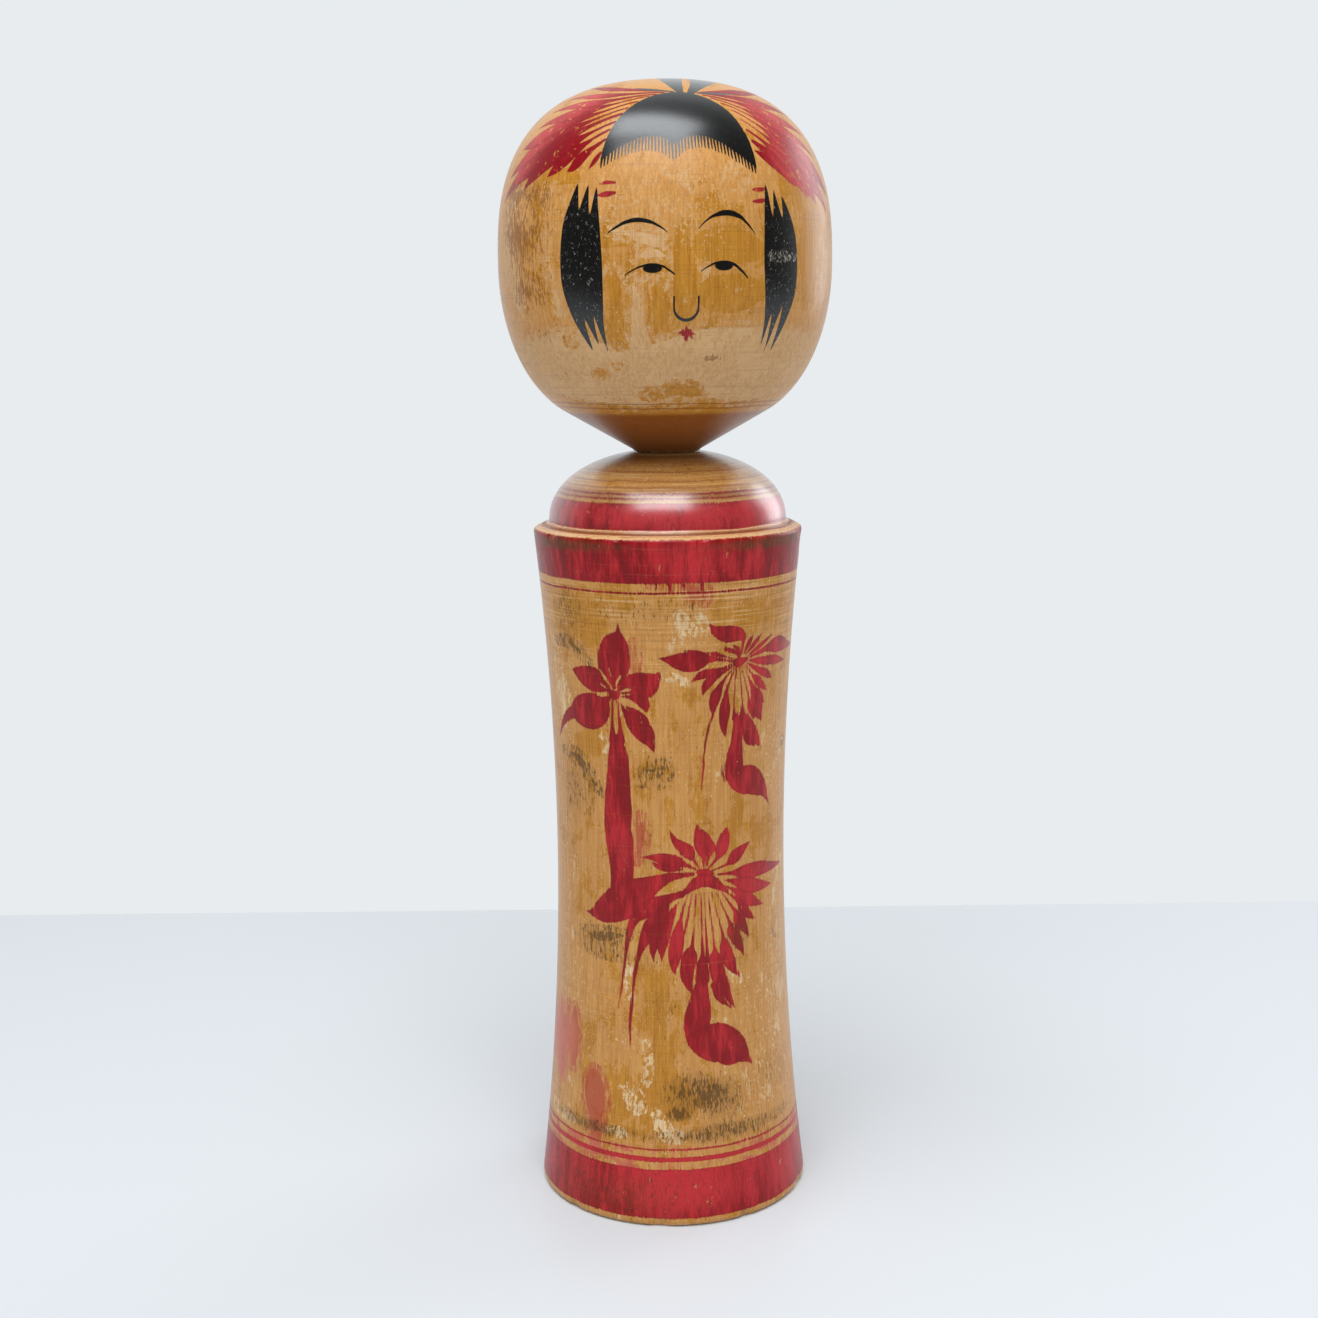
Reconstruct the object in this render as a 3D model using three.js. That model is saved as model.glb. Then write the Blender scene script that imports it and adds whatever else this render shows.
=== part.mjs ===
// A wooden kokeshi doll of the kind whose head turns: two pieces of lathe-turned hardwood.
// The body is a waisted barrel with a stepped, domed shoulder and a blind socket. The head is turned in
// one with its neck plug, whose bulb was driven hot through the socket's narrower mouth, so that the
// head can't come out and turns with a squeak. Millimetres, +Z up, origin at the foot's centre on the
// surface that the doll stands on, face towards -Y.
import * as THREE from "three";

// The barrel: its side is one long hollow arc from the foot to the rim.
const barrelHeight = 186.8;
const waistRadius = 31.7;
const waistHeight = 98.5;
const sweepRadius = 807;
const footRounding = 1.6;
const dishRadius = 25; // the hollow turned under the foot, so that the doll stands on its edge
const dishDepth = 0.8;

// The shoulder: a ledge that falls from the dome's foot to the rounded rim, with a groove cut in it.
const rimRounding = 1.2;
const ledgeWidth = 4.2;
const ledgeSlope = 0.45; // fall for each millimetre outwards
const grooveInset = 1.3; // from the dome's foot to the groove's middle
const grooveWidth = 0.7;
const grooveDepth = 0.5;
const domeRise = 19.1; // from the ledge to where the dome's curve would meet the axis
const domeFullness = 2.13; // exponent of the dome's superellipse, where 2 is a plain ellipse

// The head: a cone rises from its foot and turns into a round cheek, and the crown is a flatter cap.
const headRadius = 44.25;
const cheekWidth = 17; // from the cone's end out to the widest place
const cheekHeight = 38.6;
const cheekFullnessLow = 10.2; // how far the cheek keeps the cone's direction
const cheekFullnessHigh = 20; // how far it keeps the upright direction below the widest place
const coneSlope = 0.57; // rise for each millimetre outwards
const crownHeight = 46.4; // from the widest place to the top
const crownFullness = 2.6;

// The neck plug, from the head's foot down, and the room that the socket leaves round it.
const throatRadius = 7.5;
const throatLength = 6.5;
const bulbSwell = 0.9; // the bulb's radius is this much more than the throat's
const bulbTaper = 1.5; // the throat widens to the bulb over this length
const bulbLength = 6;
const noseTaper = 2.2; // the nose's radius is this much less than the bulb's
const noseLength = 5;
const jointClearance = 0.3; // between the plug and the socket, and between the head's foot and its seat
const socketRoom = 1.5; // below the plug's nose
const mouthChamfer = 0.4;
const headFootWidth = 1.3; // the flat ring round the plug, on which the head rests
const headFootRounding = 0.5;
const seatMargin = 0.8; // the flat seat is this much wider than the head's foot

const turns = 64; // flats round each turned piece
const point = (radius, height) => new THREE.Vector2(radius, height);

// An arc of a circle from one angle to another, in degrees up from the outward direction.
function arc(centreRadius, centreHeight, radius, fromDegrees, toDegrees, steps) {
  return Array.from({ length: steps + 1 }, (_, i) => {
    const angle = THREE.MathUtils.degToRad(fromDegrees + ((toDegrees - fromDegrees) * i) / steps);
    return point(centreRadius + radius * Math.cos(angle), centreHeight + radius * Math.sin(angle));
  });
}

// A quarter of a superellipse from its widest place up to where it has narrowed to endRadius.
function cap(radius, baseHeight, rise, fullness, endRadius, steps) {
  const lastTurn = Math.acos((endRadius / radius) ** (fullness / 2));
  return Array.from({ length: steps + 1 }, (_, i) => {
    const turn = (lastTurn * i) / steps;
    return point(
      radius * Math.max(Math.cos(turn), 0) ** (2 / fullness),
      baseHeight + rise * Math.sin(turn) ** (2 / fullness),
    );
  });
}

// The barrel's radius at a height, on the hollow arc.
function sweepAt(height) {
  return waistRadius + sweepRadius - Math.sqrt(sweepRadius ** 2 - (height - waistHeight) ** 2);
}

// A solid of revolution about +Z. Its outline runs from the axis, up the outside, and back to the axis.
function turned(name, outline, material) {
  const distinct = outline.filter((p, i) => i === 0 || p.distanceTo(outline[i - 1]) > 0.01);
  const geometry = new THREE.LatheGeometry(distinct, turns);
  geometry.rotateX(Math.PI / 2);
  const mesh = new THREE.Mesh(geometry, material);
  mesh.name = name;
  return mesh;
}

// Where the rim's rounding starts, and where it runs out into the ledge.
const rimHeight = barrelHeight - rimRounding;
const rimRadius = sweepAt(rimHeight);
const rimDegrees = 90 - THREE.MathUtils.radToDeg(Math.atan(ledgeSlope));
const rimArc = arc(rimRadius - rimRounding, rimHeight, rimRounding, 0, rimDegrees, 4);
const rimEnd = rimArc[rimArc.length - 1];

const domeRadius = rimRadius - ledgeWidth;
const ledgeAt = (radius) => rimEnd.y + ledgeSlope * (rimEnd.x - radius);

// The seat, on which the head's foot rests, is where the dome has narrowed to a flat ring.
const headFootRadius = throatRadius + headFootWidth;
const seatRadius = headFootRadius + headFootRounding + seatMargin;
const dome = cap(domeRadius, ledgeAt(domeRadius), domeRise, domeFullness, seatRadius, 12);
const seatHeight = dome[dome.length - 1].y;
const headFootHeight = seatHeight + jointClearance;

const bulbRadius = throatRadius + bulbSwell;
const bulbTop = headFootHeight - throatLength - bulbTaper;
const bulbFoot = bulbTop - bulbLength;
const noseRadius = bulbRadius - noseTaper;
const noseHeight = bulbFoot - noseLength;

function grooveOutline() {
  return [0.5, 0, -0.5].map((share) => {
    const radius = domeRadius + grooveInset + share * grooveWidth;
    return point(radius, ledgeAt(radius) - (share === 0 ? grooveDepth : 0));
  });
}

function socketOutline() {
  const room = jointClearance;
  return [
    point(throatRadius + room + mouthChamfer, seatHeight),
    point(throatRadius + room, seatHeight - mouthChamfer),
    point(throatRadius + room, headFootHeight - throatLength + room),
    point(bulbRadius + room, bulbTop + room),
    point(bulbRadius + room, bulbFoot - room),
    point(noseRadius + room, noseHeight - socketRoom),
    point(0, noseHeight - socketRoom),
  ];
}

function bodyOutline() {
  const sideSteps = 14;
  const side = Array.from({ length: sideSteps + 1 }, (_, i) => {
    const height = footRounding + ((rimHeight - footRounding) * i) / sideSteps;
    return point(sweepAt(height), height);
  });
  return [
    point(0, dishDepth),
    point(dishRadius, dishDepth),
    point(dishRadius + dishDepth, 0),
    ...arc(sweepAt(footRounding) - footRounding, footRounding, footRounding, -90, 0, 3),
    ...side,
    ...rimArc,
    ...grooveOutline(),
    ...dome,
    ...socketOutline(),
  ];
}

function headOutline() {
  const coneFoot = point(headFootRadius + headFootRounding, headFootHeight + headFootRounding);
  const coneEnd = point(headRadius - cheekWidth, 0);
  coneEnd.y = coneFoot.y + coneSlope * (coneEnd.x - coneFoot.x);
  const widest = coneEnd.y + cheekHeight;
  const keepsCone = point(1, coneSlope).setLength(cheekFullnessLow).add(coneEnd);
  const cheek = new THREE.CubicBezierCurve(
    coneEnd,
    keepsCone,
    point(headRadius, widest - cheekFullnessHigh),
    point(headRadius, widest),
  );
  return [
    point(0, noseHeight),
    point(noseRadius, noseHeight),
    point(bulbRadius, bulbFoot),
    point(bulbRadius, bulbTop),
    point(throatRadius, headFootHeight - throatLength),
    point(throatRadius, headFootHeight),
    point(headFootRadius, headFootHeight),
    coneFoot,
    ...cheek.getPoints(10),
    ...cap(headRadius, widest, crownHeight, crownFullness, 0, 14),
  ];
}

const headWood = new THREE.MeshStandardMaterial({ color: 0xc99a55, roughness: 0.42, metalness: 0 });
const bodyWood = new THREE.MeshStandardMaterial({ color: 0xb98a45, roughness: 0.45, metalness: 0 });

const doll = new THREE.Group();
doll.add(turned("body", bodyOutline(), bodyWood));
doll.add(turned("head", headOutline(), headWood));

export default doll;
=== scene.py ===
"""A turned and painted kokeshi doll: an old one, whose amber wax is rubbed off in patches."""
import math

import bpy
import numpy as np
from mathutils import Matrix, Vector


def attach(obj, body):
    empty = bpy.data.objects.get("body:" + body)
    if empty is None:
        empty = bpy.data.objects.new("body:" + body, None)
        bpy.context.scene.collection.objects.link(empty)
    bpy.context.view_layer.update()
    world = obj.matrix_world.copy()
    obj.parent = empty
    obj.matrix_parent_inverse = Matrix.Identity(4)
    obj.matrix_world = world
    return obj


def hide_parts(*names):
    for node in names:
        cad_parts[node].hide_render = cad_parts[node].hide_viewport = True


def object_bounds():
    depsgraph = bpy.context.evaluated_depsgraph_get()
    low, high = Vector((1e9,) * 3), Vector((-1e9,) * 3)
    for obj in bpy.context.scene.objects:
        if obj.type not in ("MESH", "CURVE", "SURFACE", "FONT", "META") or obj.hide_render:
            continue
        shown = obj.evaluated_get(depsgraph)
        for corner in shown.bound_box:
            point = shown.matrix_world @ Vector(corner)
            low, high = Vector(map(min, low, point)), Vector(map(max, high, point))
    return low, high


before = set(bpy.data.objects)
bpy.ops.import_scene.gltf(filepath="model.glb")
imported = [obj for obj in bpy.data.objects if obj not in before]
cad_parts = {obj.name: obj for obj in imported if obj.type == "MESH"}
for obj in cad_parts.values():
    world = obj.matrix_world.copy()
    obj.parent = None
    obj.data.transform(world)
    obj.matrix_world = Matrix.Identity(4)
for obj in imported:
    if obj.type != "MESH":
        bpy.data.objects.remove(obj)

cad_low, cad_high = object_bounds()

# ---------------------------------------------------------------------------------------------------
# The viewpoint. A 50 mm lens stands half a metre in front of the doll, a little over its shoulder, and
# looks slightly down. It is rolled by half a degree, so the doll leans a trifle to the left.
camera_distance = 0.4975
camera_height = 0.2388
camera_offset = -0.0027
look_down = math.radians(10.18)
camera_roll = math.radians(-0.6)

lens = bpy.data.cameras.new("camera")
lens.lens = 50
camera = bpy.data.objects.new("camera", lens)
camera.location = (camera_offset, -camera_distance, camera_height)
level = Matrix.Rotation(math.pi / 2 - look_down, 3, "X")
camera.rotation_euler = (level @ Matrix.Rotation(camera_roll, 3, "Z")).to_euler()
bpy.context.scene.collection.objects.link(camera)
bpy.context.scene.camera = camera
bpy.context.scene.view_settings.view_transform = "Standard"


# ---------------------------------------------------------------------------------------------------
# The place where it stands: a white table top that ends a forearm's length behind the doll, in an evenly
# lit white room. One softbox hangs above, one stands over the lens, and a weak one lights the right
# flank from behind.
def shade(code):
    """A colour from its six-digit screen code, as the linear values that a shader takes."""
    parts = [int(code[i : i + 2], 16) / 255 for i in (0, 2, 4)]
    return tuple(p / 12.92 if p <= 0.04045 else ((p + 0.055) / 1.055) ** 2.4 for p in parts) + (1,)


class Wash:
    """A socket of a material. Arithmetic on it adds Math nodes to that material."""

    def __init__(self, socket):
        self.socket = socket

    def node(self, kind, settings=None, inputs=None, output=0):
        """Adds a node: its settings first, then the values or links of its inputs."""
        tree = self.socket.id_data
        made = tree.nodes.new("ShaderNode" + kind)
        for name, value in (settings or {}).items():
            if name == "points":
                lay_curve(made, value)
            else:
                setattr(made, name, value)
        for key, value in (inputs or {}).items():
            if isinstance(value, Wash):
                tree.links.new(value.socket, made.inputs[key])
            else:
                made.inputs[key].default_value = value
        return Wash(made.outputs[output])

    def math(self, operation, *values):
        """A Math node on these values."""
        return self.node("Math", {"operation": operation}, dict(enumerate(values)))

    def __add__(self, other):
        return self.math("ADD", self, other)

    def __sub__(self, other):
        return self.math("SUBTRACT", self, other)

    def __rsub__(self, other):
        return self.math("SUBTRACT", other, self)

    def __mul__(self, other):
        return self.math("MULTIPLY", self, other)

    def __truediv__(self, other):
        return self.math("DIVIDE", self, other)

    def __abs__(self):
        return self.math("ABSOLUTE", self)

    __radd__ = __add__
    __rmul__ = __mul__

    def most(self, *others):
        """The largest of this and the others."""
        found = self
        for other in others:
            found = self.math("MAXIMUM", found, other)
        return found

    def least(self, *others):
        """The smallest of this and the others."""
        found = self
        for other in others:
            found = self.math("MINIMUM", found, other)
        return found

    def rise(self, low, high):
        """0 below low, 1 above high, and smooth between them. It falls where low is above high."""
        ends = {"From Min": low, "From Max": high, "To Min": 0, "To Max": 1}
        if low > high:
            ends = {"From Min": high, "From Max": low, "To Min": 1, "To Max": 0}
        return self.node("MapRange", {"interpolation_type": "SMOOTHSTEP"}, {"Value": self, **ends})

    def blend(self, under, over, how="MIX"):
        """The colour over on the colour under, where this is the share of over."""
        settings = {"data_type": "RGBA", "blend_type": how, "clamp_factor": True}
        return self.node("Mix", settings, {0: self, 6: under, 7: over}, 2)

    def stretched(self, across, along):
        """These coordinates in mm, with so many turns of a pattern in a millimetre."""
        scale = (across, across, along)
        return self.node("VectorMath", {"operation": "MULTIPLY"}, {0: self, 1: scale})

    def noise(self, across, along, detail=2.0, rough=0.5, swirl=0.0):
        """Cloudy noise between 0 and 1, with so many swells in a millimetre across and along the grain."""
        spots = self.stretched(across, along)
        sockets = {"Scale": 1, "Detail": detail, "Roughness": rough, "Distortion": swirl}
        return self.node("TexNoise", None, {"Vector": spots, **sockets})


def lay_curve(node, points):
    """Shapes a curve node through the points."""
    curve = node.mapping.curves[0]
    xs = [x for x, _ in points]
    node.mapping.clip_min_x, node.mapping.clip_max_x = min(xs), max(xs)
    ys = [y for _, y in points]
    node.mapping.clip_min_y, node.mapping.clip_max_y = min(ys), max(ys)
    while len(curve.points) < len(points):
        curve.points.new(0, 0)
    for made, (x, y) in zip(curve.points, points):
        made.location = (x, y)
    node.mapping.update()


# The lens sees the room's white wall, and so do gleams on the doll's flanks, but what is in front of the
# doll is the dim side of the room.
room_white = shade("E8ECEF")
room_light = 0.72
dim_side = 0.06
world = bpy.data.worlds.new("room")
bpy.context.scene.world = world
world.use_nodes = True
background = world.node_tree.nodes["Background"]
background.inputs["Color"].default_value = room_white
rays = Wash(background.inputs["Strength"]).node("LightPath")
mirrored = Wash(rays.socket.node.outputs["Is Glossy Ray"])
mirrored = mirrored.most(Wash(rays.socket.node.outputs["Is Transmission Ray"]))
way = rays.node("SeparateXYZ", None, {0: rays.node("TexCoord", output="Generated")}, "Y")
wall_from, wall_full = -0.1, 0.65  # how far backwards a mirrored ray must go to meet the bright wall
gleam = dim_side + way.rise(wall_from, wall_full) * (1 - dim_side)
strength = room_light + rays * (1 - room_light) + mirrored * (gleam - room_light)
world.node_tree.links.new(strength.socket, background.inputs["Strength"])

table_reach = 1.5
table_front = 0.6
table_back = 0.24
table = bpy.data.meshes.new("table")
corners = [(-table_reach, -table_front), (table_reach, -table_front)]
corners += [(table_reach, table_back), (-table_reach, table_back)]
table.from_pydata([(x, y, 0) for x, y in corners], [], [(0, 1, 2, 3)])
table_top = bpy.data.objects.new("table", table)
bpy.context.scene.collection.objects.link(table_top)
white = bpy.data.materials.new("table_white")
white.use_nodes = True
table_shader = white.node_tree.nodes["Principled BSDF"]
table_shader.inputs["Base Color"].default_value = shade("D2D4D6")
table_shader.inputs["Roughness"].default_value = 0.45
table_shader.inputs["Specular IOR Level"].default_value = 0.3
table.materials.append(white)


daylight = (0.92, 0.96, 1.0)


def softbox(name, azimuth, elevation, distance, width, height, power):
    """A softbox at a bearing from the doll's middle. Azimuth 0 is where the lens is."""
    lamp = bpy.data.lights.new(name, "AREA")
    lamp.shape = "RECTANGLE"
    lamp.size, lamp.size_y = width, height
    lamp.energy = power
    lamp.color = daylight
    a, e = math.radians(azimuth), math.radians(elevation)
    towards = Vector((math.sin(a) * math.cos(e), -math.cos(a) * math.cos(e), math.sin(e)))
    made = bpy.data.objects.new(name, lamp)
    made.location = Vector((0, 0, cad_high.z / 2)) + towards * distance
    made.rotation_euler = towards.to_track_quat("Z", "Y").to_euler()
    bpy.context.scene.collection.objects.link(made)


softbox("softbox_above", -18, 75, 1.1, 0.8, 0.4, 6.6)
softbox("softbox_front", -6, 52, 1.1, 0.9, 0.4, 5.6)
softbox("softbox_right", 126, 16, 1.2, 0.6, 0.8, 3.8)


# ---------------------------------------------------------------------------------------------------
# The body, a piece of dogwood turned between centres: a hollow-sided barrel, a rounded rim, a grooved
# ledge and a domed shoulder with a blind socket in its top. Its outline is worked out from the foot up,
# in millimetres, and its mesh is closest where the brush has been.
mm = 0.001


def arc(centre_radius, centre_height, radius, start, end, steps):
    """Points on a circle, from one angle to another in degrees up from the outward direction."""
    turn = np.radians(np.linspace(start, end, steps))
    return np.column_stack([centre_radius + radius * np.cos(turn), centre_height + radius * np.sin(turn)])


def crown_curve(radius, base, rise, fullness, end_radius, steps):
    """A quarter of a superellipse, from its widest place up to where it has narrowed to end_radius."""
    turn = np.linspace(0, math.acos((end_radius / radius) ** (fullness / 2)), steps)
    across = radius * np.maximum(np.cos(turn), 0) ** (2 / fullness)
    return np.column_stack([across, base + rise * np.sin(turn) ** (2 / fullness)])


def evenly(outline, spacing):
    """The outline with extra points, so that none is further from the next than spacing says there.
    spacing is a list of (height, distance), read between its heights."""
    heights, gaps = zip(*spacing)
    made = [outline[:1]]
    for a, b in zip(outline, outline[1:]):
        gap = np.interp((a[1] + b[1]) / 2, heights, gaps)
        parts = max(1, math.ceil(np.hypot(*(b - a)) / gap))
        made.append(a + (b - a) * np.linspace(0, 1, parts + 1)[1:, None])
    return np.vstack(made)


def bearings(half_front, fine, coarse):
    """Angles round the piece in radians, from behind it by its left side: fine ones in front."""
    edge, back = math.radians(half_front), math.pi
    sides = np.linspace(edge, back, max(2, int((back - edge) / coarse)))[1:-1]
    front = np.linspace(-edge, edge, int(2 * edge / fine))
    return np.concatenate([[-back], -sides[::-1], front, sides])


def turned(name, outline, angles, dents=()):
    """A mesh of revolution whose outline in mm runs from the axis up the outside and back to the axis.
    Returns it with each vertex's bearing, height and distance along the outline."""
    run = np.concatenate([[0], np.cumsum(np.hypot(*np.diff(outline, axis=0).T))])
    rows, columns = len(outline), len(angles)
    radius = np.repeat(outline[1:-1, 0], columns)
    height = np.repeat(outline[1:-1, 1], columns)
    bearing = np.tile(angles, rows - 2)
    for at, level_mm, wide, high, depth in dents:
        off = (bearing - math.radians(at) + math.pi) % (2 * math.pi) - math.pi
        far = (off * radius / wide) ** 2 + ((height - level_mm) / high) ** 2
        radius = radius - depth * np.exp(-(far**2))
    places = np.column_stack([radius * np.sin(bearing), -radius * np.cos(bearing), height])
    places = np.vstack([places, [[0, 0, outline[0, 1]], [0, 0, outline[-1, 1]]]]) * mm
    first, last = len(places) - 2, len(places) - 1

    # Each quad as its row and column, then its corners; the triangles at the two ends meet on the axis.
    row, column = np.divmod(np.arange((rows - 3) * columns), columns)
    after = (column + 1) % columns
    quads = np.column_stack([row * columns + column, row * columns + after,
                             (row + 1) * columns + after, (row + 1) * columns + column])
    ends = [(i, (i + 1) % columns) for i in range(columns)]
    top = (rows - 3) * columns
    faces = [(first, b, a) for a, b in ends] + quads.tolist() + [(top + a, top + b, last) for a, b in ends]
    mesh = bpy.data.meshes.new(name)
    mesh.from_pydata(places.tolist(), [], faces)
    mesh.polygons.foreach_set("use_smooth", [True] * len(faces))

    # The map is the outline's run against the bearing, so it is cut open once, down the back.
    border = 0.01
    around = np.concatenate([angles, [math.pi]])
    across = (around + math.pi) / (2 * math.pi) * (1 - 2 * border) + border
    up = run / run[-1] * (1 - 2 * border) + border
    u_low, u_high = across[:-1], across[1:]
    middle = (u_low + u_high) / 2
    foot_end = np.column_stack([middle, np.full(columns, up[0]), u_high, np.full(columns, up[1]),
                                u_low, np.full(columns, up[1])])
    head_end = np.column_stack([u_low, np.full(columns, up[-2]), u_high, np.full(columns, up[-2]),
                                middle, np.full(columns, up[-1])])
    low, high = up[1 + row], up[2 + row]
    sides = np.column_stack([u_low[column], low, u_high[column], low,
                             u_high[column], high, u_low[column], high])
    chart = np.concatenate([foot_end.ravel(), sides.ravel(), head_end.ravel()])
    mesh.uv_layers.new(name="OFBake").data.foreach_set("uv", chart)
    mesh.update()
    piece = bpy.data.objects.new(name, mesh)
    bpy.context.scene.collection.objects.link(piece)
    spots = {
        "bearing": np.concatenate([bearing, [0, 0]]),
        "height": np.concatenate([height, outline[[0, -1], 1]]),
        "run": np.concatenate([np.repeat(run[1:-1], columns), run[[0, -1]]]),
    }
    return piece, spots


def through(knots, spacing):
    """A smooth line through the knots, with a point every so many mm. It carries every column."""
    knots = np.array(knots, float)
    ends = np.vstack([2 * knots[0] - knots[1], knots, 2 * knots[-1] - knots[-2]])
    made = []
    for a, b, c, d in zip(ends, ends[1:], ends[2:], ends[3:]):
        steps = max(2, int(np.hypot(*(c - b)[:2]) / spacing))
        t = np.linspace(0, 1, steps, endpoint=False)[:, None]
        made.append(b + t * (c - a + t * (2 * a - 5 * b + 4 * c - d + t * (3 * (b - c) + d - a))) / 2)
    return np.vstack([*made, knots[-1:]])


def brushed(spots, strokes, reach=1.5, spacing=0.3):
    """How far inside the nearest stroke's edge each spot lies, in mm, and how many strokes cover it.
    A stroke is a list of (across, up, half the brush's width there)."""
    inside = np.full(len(spots), -reach)
    coats = np.zeros(len(spots))
    for stroke in strokes:
        line = through(stroke, spacing)
        margin = line[:, 2].max() + reach
        low, high = line[:, :2].min(0) - margin, line[:, :2].max(0) + margin
        near = np.flatnonzero(np.all((spots > low) & (spots < high), axis=1))
        depth = np.full(len(near), -reach)
        for x, y, half in line:
            away = np.hypot(spots[near, 0] - x, spots[near, 1] - y)
            depth = np.maximum(depth, max(half, 0.03) - away)
        inside[near] = np.maximum(inside[near], depth)
        coats[near] += np.clip(depth / 0.4 + 0.5, 0, 1)
    return inside, coats


def below(spots, knots):
    """How far under a curve each spot lies, in mm, where the curve runs from left to right."""
    line = through(knots, 0.4)
    away = np.full(len(spots), 1e3)
    for x, y in line:
        away = np.minimum(away, np.hypot(spots[:, 0] - x, spots[:, 1] - y))
    return np.where(spots[:, 1] < np.interp(spots[:, 0], line[:, 0], line[:, 1]), away, -away)


def blots(spots, marks):
    """Soft patches that add up: each is (across, up, half width, half height, strength)."""
    total = np.zeros(len(spots))
    for x, y, wide, high, strength_there in marks:
        far = ((spots[:, 0] - x) / wide) ** 2 + ((spots[:, 1] - y) / high) ** 2
        total += strength_there * np.exp(-(far**1.5))
    return total


def store(piece, **fields):
    """Keeps values on the piece's vertices, where its material reads them by name."""
    for name, values in fields.items():
        layer = piece.data.attributes.new(name, "FLOAT", "POINT")
        layer.data.foreach_set("value", np.asarray(values, np.float32))


barrel_height = 186.8
waist_radius = 31.7
waist_height = 98.5
sweep_radius = 807
foot_rounding = 1.6
dish_radius, dish_depth = 25, 0.8
rim_rounding = 1.2
ledge_width, ledge_slope = 4.2, 0.45
groove_inset, groove_width, groove_depth = 1.3, 0.7, 0.5
dome_rise, dome_fullness = 19.1, 2.13
throat_radius, throat_length = 7.5, 6.5
bulb_swell, bulb_taper, bulb_length = 0.9, 1.5, 6
nose_taper, nose_length = 2.2, 5
joint_room, socket_room = 0.3, 1.5
mouth_chamfer = 0.4
head_foot_width, head_foot_rounding = 1.3, 0.5
seat_margin = 0.8


def sweep_at(height):
    """The barrel's radius at a height, on its hollow arc."""
    return waist_radius + sweep_radius - np.sqrt(sweep_radius**2 - (height - waist_height) ** 2)


rim_height = barrel_height - rim_rounding
rim_radius = sweep_at(rim_height)
rim_end = 90 - math.degrees(math.atan(ledge_slope))
rim_arc = arc(rim_radius - rim_rounding, rim_height, rim_rounding, 0, rim_end, 9)
dome_radius = rim_radius - ledge_width
head_foot_radius = throat_radius + head_foot_width
seat_radius = head_foot_radius + head_foot_rounding + seat_margin


def ledge_at(radius):
    """The ledge's height at a radius."""
    return rim_arc[-1, 1] + ledge_slope * (rim_arc[-1, 0] - radius)


dome = crown_curve(dome_radius, ledge_at(dome_radius), dome_rise, dome_fullness, seat_radius, 60)
seat_height = dome[-1, 1]
bulb_radius = throat_radius + bulb_swell
bulb_top = seat_height + joint_room - throat_length - bulb_taper
bulb_foot = bulb_top - bulb_length
plug_nose = bulb_foot - nose_length

side_heights = np.linspace(foot_rounding, rim_height, 150)
groove_turn = np.linspace(-1, 1, 9)
groove_radius = dome_radius + groove_inset - groove_turn * groove_width / 2
groove = np.column_stack([groove_radius, ledge_at(groove_radius) - groove_depth * (1 - groove_turn**2)])
socket = [
    (throat_radius + joint_room + mouth_chamfer, seat_height),
    (throat_radius + joint_room, seat_height - mouth_chamfer),
    (throat_radius + joint_room, bulb_top + bulb_taper + joint_room),
    (bulb_radius + joint_room, bulb_top + joint_room),
    (bulb_radius + joint_room, bulb_foot - joint_room),
    (bulb_radius - nose_taper + joint_room, plug_nose - socket_room),
    (0, plug_nose - socket_room),
]
body_outline = np.vstack([
    [(0, dish_depth), (dish_radius, dish_depth), (dish_radius + dish_depth, 0)],
    arc(sweep_at(foot_rounding) - foot_rounding, foot_rounding, foot_rounding, -90, 0, 9),
    np.column_stack([sweep_at(side_heights), side_heights])[1:-1],
    rim_arc,
    groove,
    dome,
    socket,
])
# The mesh is finest where the flowers are. A knock is (bearing in degrees, height, half width, half
# height, depth).
body_spacing = [(0, 1.2), (17, 1.2), (20, 0.5), (40, 0.4), (112, 0.38), (166, 0.38), (172, 1.2), (210, 1.2)]
knocks = [
    (78, 185.6, 2.2, 1.6, 0.9), (83, 182.2, 1.2, 2.4, 0.35), (-58, 186.3, 1.6, 0.9, 0.45),
    (-21, 186.5, 1.0, 0.7, 0.3), (14, 186.4, 1.3, 0.6, 0.3), (37, 186.3, 0.8, 0.8, 0.35),
    (-6, 1.2, 2.5, 1.2, 0.5), (31, 1.0, 1.8, 1.0, 0.5), (-47, 0.8, 1.5, 1.1, 0.4),
    (70, 1.2, 2.2, 1.0, 0.5), (140, 186.2, 2.0, 1.0, 0.5), (-150, 1.1, 2.6, 1.2, 0.5),
    (72, 129.5, 1.6, 0.5, 0.35), (-33, 63, 3.5, 1.2, 0.15), (24, 31, 2.4, 1.6, 0.12),
]
body_bearings = bearings(80, 0.0095, 0.075)
body, body_spots = turned("painted_body", evenly(body_outline, body_spacing), body_bearings, knocks)

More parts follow.
